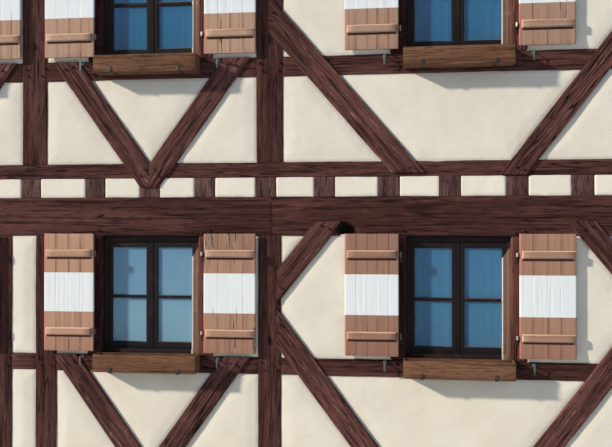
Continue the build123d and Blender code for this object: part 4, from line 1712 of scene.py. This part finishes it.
def fold(u, v, phase, folds):
    """How the folds swing, from -1 at a ridge towards the street to 1, at a share of the width
    and of the fall, and how deep they are there."""
    wander = 0.55 * math.sin(5.1 * u + phase) + 0.35 * math.sin(11.7 * u + 2 * phase + 1.3 * v)
    if folds < FOLDS:
        wander *= 0.3
    swell = 0.55 + 0.45 * v + 0.15 * math.sin(9.0 * u + phase)
    return math.sin(2 * math.pi * folds * u + wander), FOLD_DEPTH * swell


def curtain(name, left, right, foot, top, phase, folds, single, gathered):
    """One gathered half, from its top hem on the rod down to its foot, as a closed thin sheet.
    It stores how pale the net is painted: dark in the hollows as painted shade, pale on the gathered ridges, partly as
    a painted highlight."""
    columns = round(folds * FOLD_STEPS)
    grid, layers = [], []
    for row in range(CURTAIN_ROWS + 1):
        v = row / CURTAIN_ROWS
        line = []
        for i in range(columns + 1):
            u = i / columns
            swing, depth = fold(u, v, phase, folds)
            line.append(Vector((left + (right - left) * u, CURTAIN_Y + swing * depth,
                                top + (foot - top) * v)))
            layers.append(single + (gathered - single) * max(0.0, -swing) ** 3)
        grid.append(line)
    lengths = [sum((b - a).length for a, b in zip(line, line[1:])) for line in grid]
    flat_width = sum(lengths) / len(lengths)
    shape = bmesh.new()
    uv = shape.loops.layers.uv.new("cloth")
    layer = shape.verts.layers.float.new("layers")
    rows = [[shape.verts.new(p) for p in line] for line in grid]
    for vertex, value in zip((vertex for row in rows for vertex in row), layers):
        vertex[layer] = value
    for j in range(CURTAIN_ROWS):
        for i in range(columns):
            face = shape.faces.new((rows[j][i], rows[j + 1][i], rows[j + 1][i + 1], rows[j][i + 1]))
            for loop, (di, dj) in zip(face.loops, ((0, 0), (0, 1), (1, 1), (1, 0))):
                loop[uv].uv = ((i + di) / columns * flat_width, (j + dj) / CURTAIN_ROWS * (top - foot))
    piece = piece_from(shape, name, [curtain_cloth], "plaster")
    solid = piece.modifiers.new("cloth", "SOLIDIFY")
    solid.thickness = CLOTH
    solid.offset = 0
    return piece, flat_width


# %% [markdown]
# A rod runs between the sides of each window frame, and two halves hang from it, clear of the
# frame and of each other. Their folds start at another place in every window. One half, in the
# wide bay, has fewer and wider folds.

# %% Rods and curtains
ROD_RADIUS = 0.005
ROD_DROP = 0.045
CURTAIN_LIFT = 0.030
HALF_GAP = 0.006
STUD_GAP = 0.010
# The number of folds, and how pale the net is painted in its hollows, as shade, and on its gathered ridges
UPPER_NET = (FOLDS, 0.35, 0.6)
LOWER_NETS = (
    ((FOLDS, 0.6, 0.8), (FOLDS, 0.6, 0.8)), ((FOLDS, 0.6, 0.8), (FOLDS, 0.6, 0.85)),
    ((3.5, 0.1, 1.0), (FOLDS, 0.1, 0.35)),
)

for storey in ("lower", "upper"):
    for n, points in enumerate(solids_of(f"{storey}_window_frames")):
        low, high = corners(points)
        rod_z = high.z - ROD_DROP
        middle = (low.x + high.x) / 2
        rod = bmesh.new()
        turn = Matrix.Translation((0, CURTAIN_Y, rod_z)) @ Matrix.Rotation(math.pi / 2, 4, "Y")
        bmesh.ops.create_cone(
            rod, cap_ends=True, segments=16, radius1=ROD_RADIUS, radius2=ROD_RADIUS,
            depth=high.x - low.x, matrix=Matrix.Translation((middle, 0, 0)) @ turn,
        )
        rod_piece = piece_from(rod, f"{storey}_curtain_rod_{n + 1}", [iron], "iron")
        halves = (
            ("left", low.x + STUD_GAP, middle - HALF_GAP / 2),
            ("right", middle + HALF_GAP / 2, high.x - STUD_GAP),
        )
        for k, (side, left, right) in enumerate(halves):
            phase = 1.7 * n + 0.9 * k + (2.3 if storey == "upper" else 0)
            look = UPPER_NET if storey == "upper" else LOWER_NETS[n][k]
            cloth, flat_width = curtain(
                f"{storey}_curtain_{n + 1}_{side}", left, right, low.z + CURTAIN_LIFT,
                rod_z + ROD_RADIUS, phase, *look,
            )
            flat = (flat_width, rod_z + ROD_RADIUS - low.z - CURTAIN_LIFT)
            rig.sheet(cloth, flat=flat, held="gathered", rests_on=[rod_piece.name])
            print(cloth.name, "is cut", round(flat[0], 3), "by", round(flat[1], 3), "m")

# %% [markdown]
# ## Oak pegs
# Every tenon is held by pegs, driven through the face of the timber and left a little proud.
# Rails are pegged in the posts at their two ends, and each brace has two pegs near each end.

# %% Pegs
PEG_RADIUS = 0.0125
PEG_HEIGHT = 0.018
PEG_FROM_END = 0.075
PEG_SPREAD = 0.036
PEG_LEAN = 0.012


def peg_places(points, inset):
    """Two peg places near each end of the timber that one solid of the frame stands for."""
    _, along, across, (start, end), (left, right) = lie_of(points)
    middle = (left + right) / 2
    places = []
    for run, lean in ((start + inset, PEG_LEAN), (end - inset, -PEG_LEAN)):
        for turn in (-1, 1):
            spot = along * (run + lean * turn) + across * (middle + turn * PEG_SPREAD)
            spot.y = points[:, 1].min()
            places.append(spot)
    return places


pegs = []
for node in ("lower_v_braces", "upper_v_braces", "lower_k_braces", "upper_long_braces"):
    for points in solids_of(node):
        pegs += peg_places(points, 2 * PEG_FROM_END)
for node in ("lower_rails", "upper_rails", "lower_window_studs", "upper_window_studs"):
    for points in solids_of(node):
        pegs += peg_places(points, -PEG_FROM_END / 2)
whole = joined([studs_at(pegs, PEG_RADIUS, PEG_HEIGHT, frame_oak, top=0.8, sides=9)])
layer = whole.verts.layers.float_vector.new("grain")
for vertex in whole.verts:
    vertex[layer] = (vertex.co.y, vertex.co.x, vertex.co.z)
piece_from(whole, "oak_pegs", [frame_oak], "timber", smooth=False)
print(len(pegs), "pegs")

# %% [markdown]
# ## Sizes
# The sizes of the packed model and of the finished pieces are written down.

# %% Sizes and finish
print("the front measures", [round(b - a, 2) for a, b in zip(*cad_bounds)], "m")
with open("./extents.json", "w") as f:
    json.dump([[list(v) for v in cad_bounds], [list(v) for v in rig.bounds()]], f)
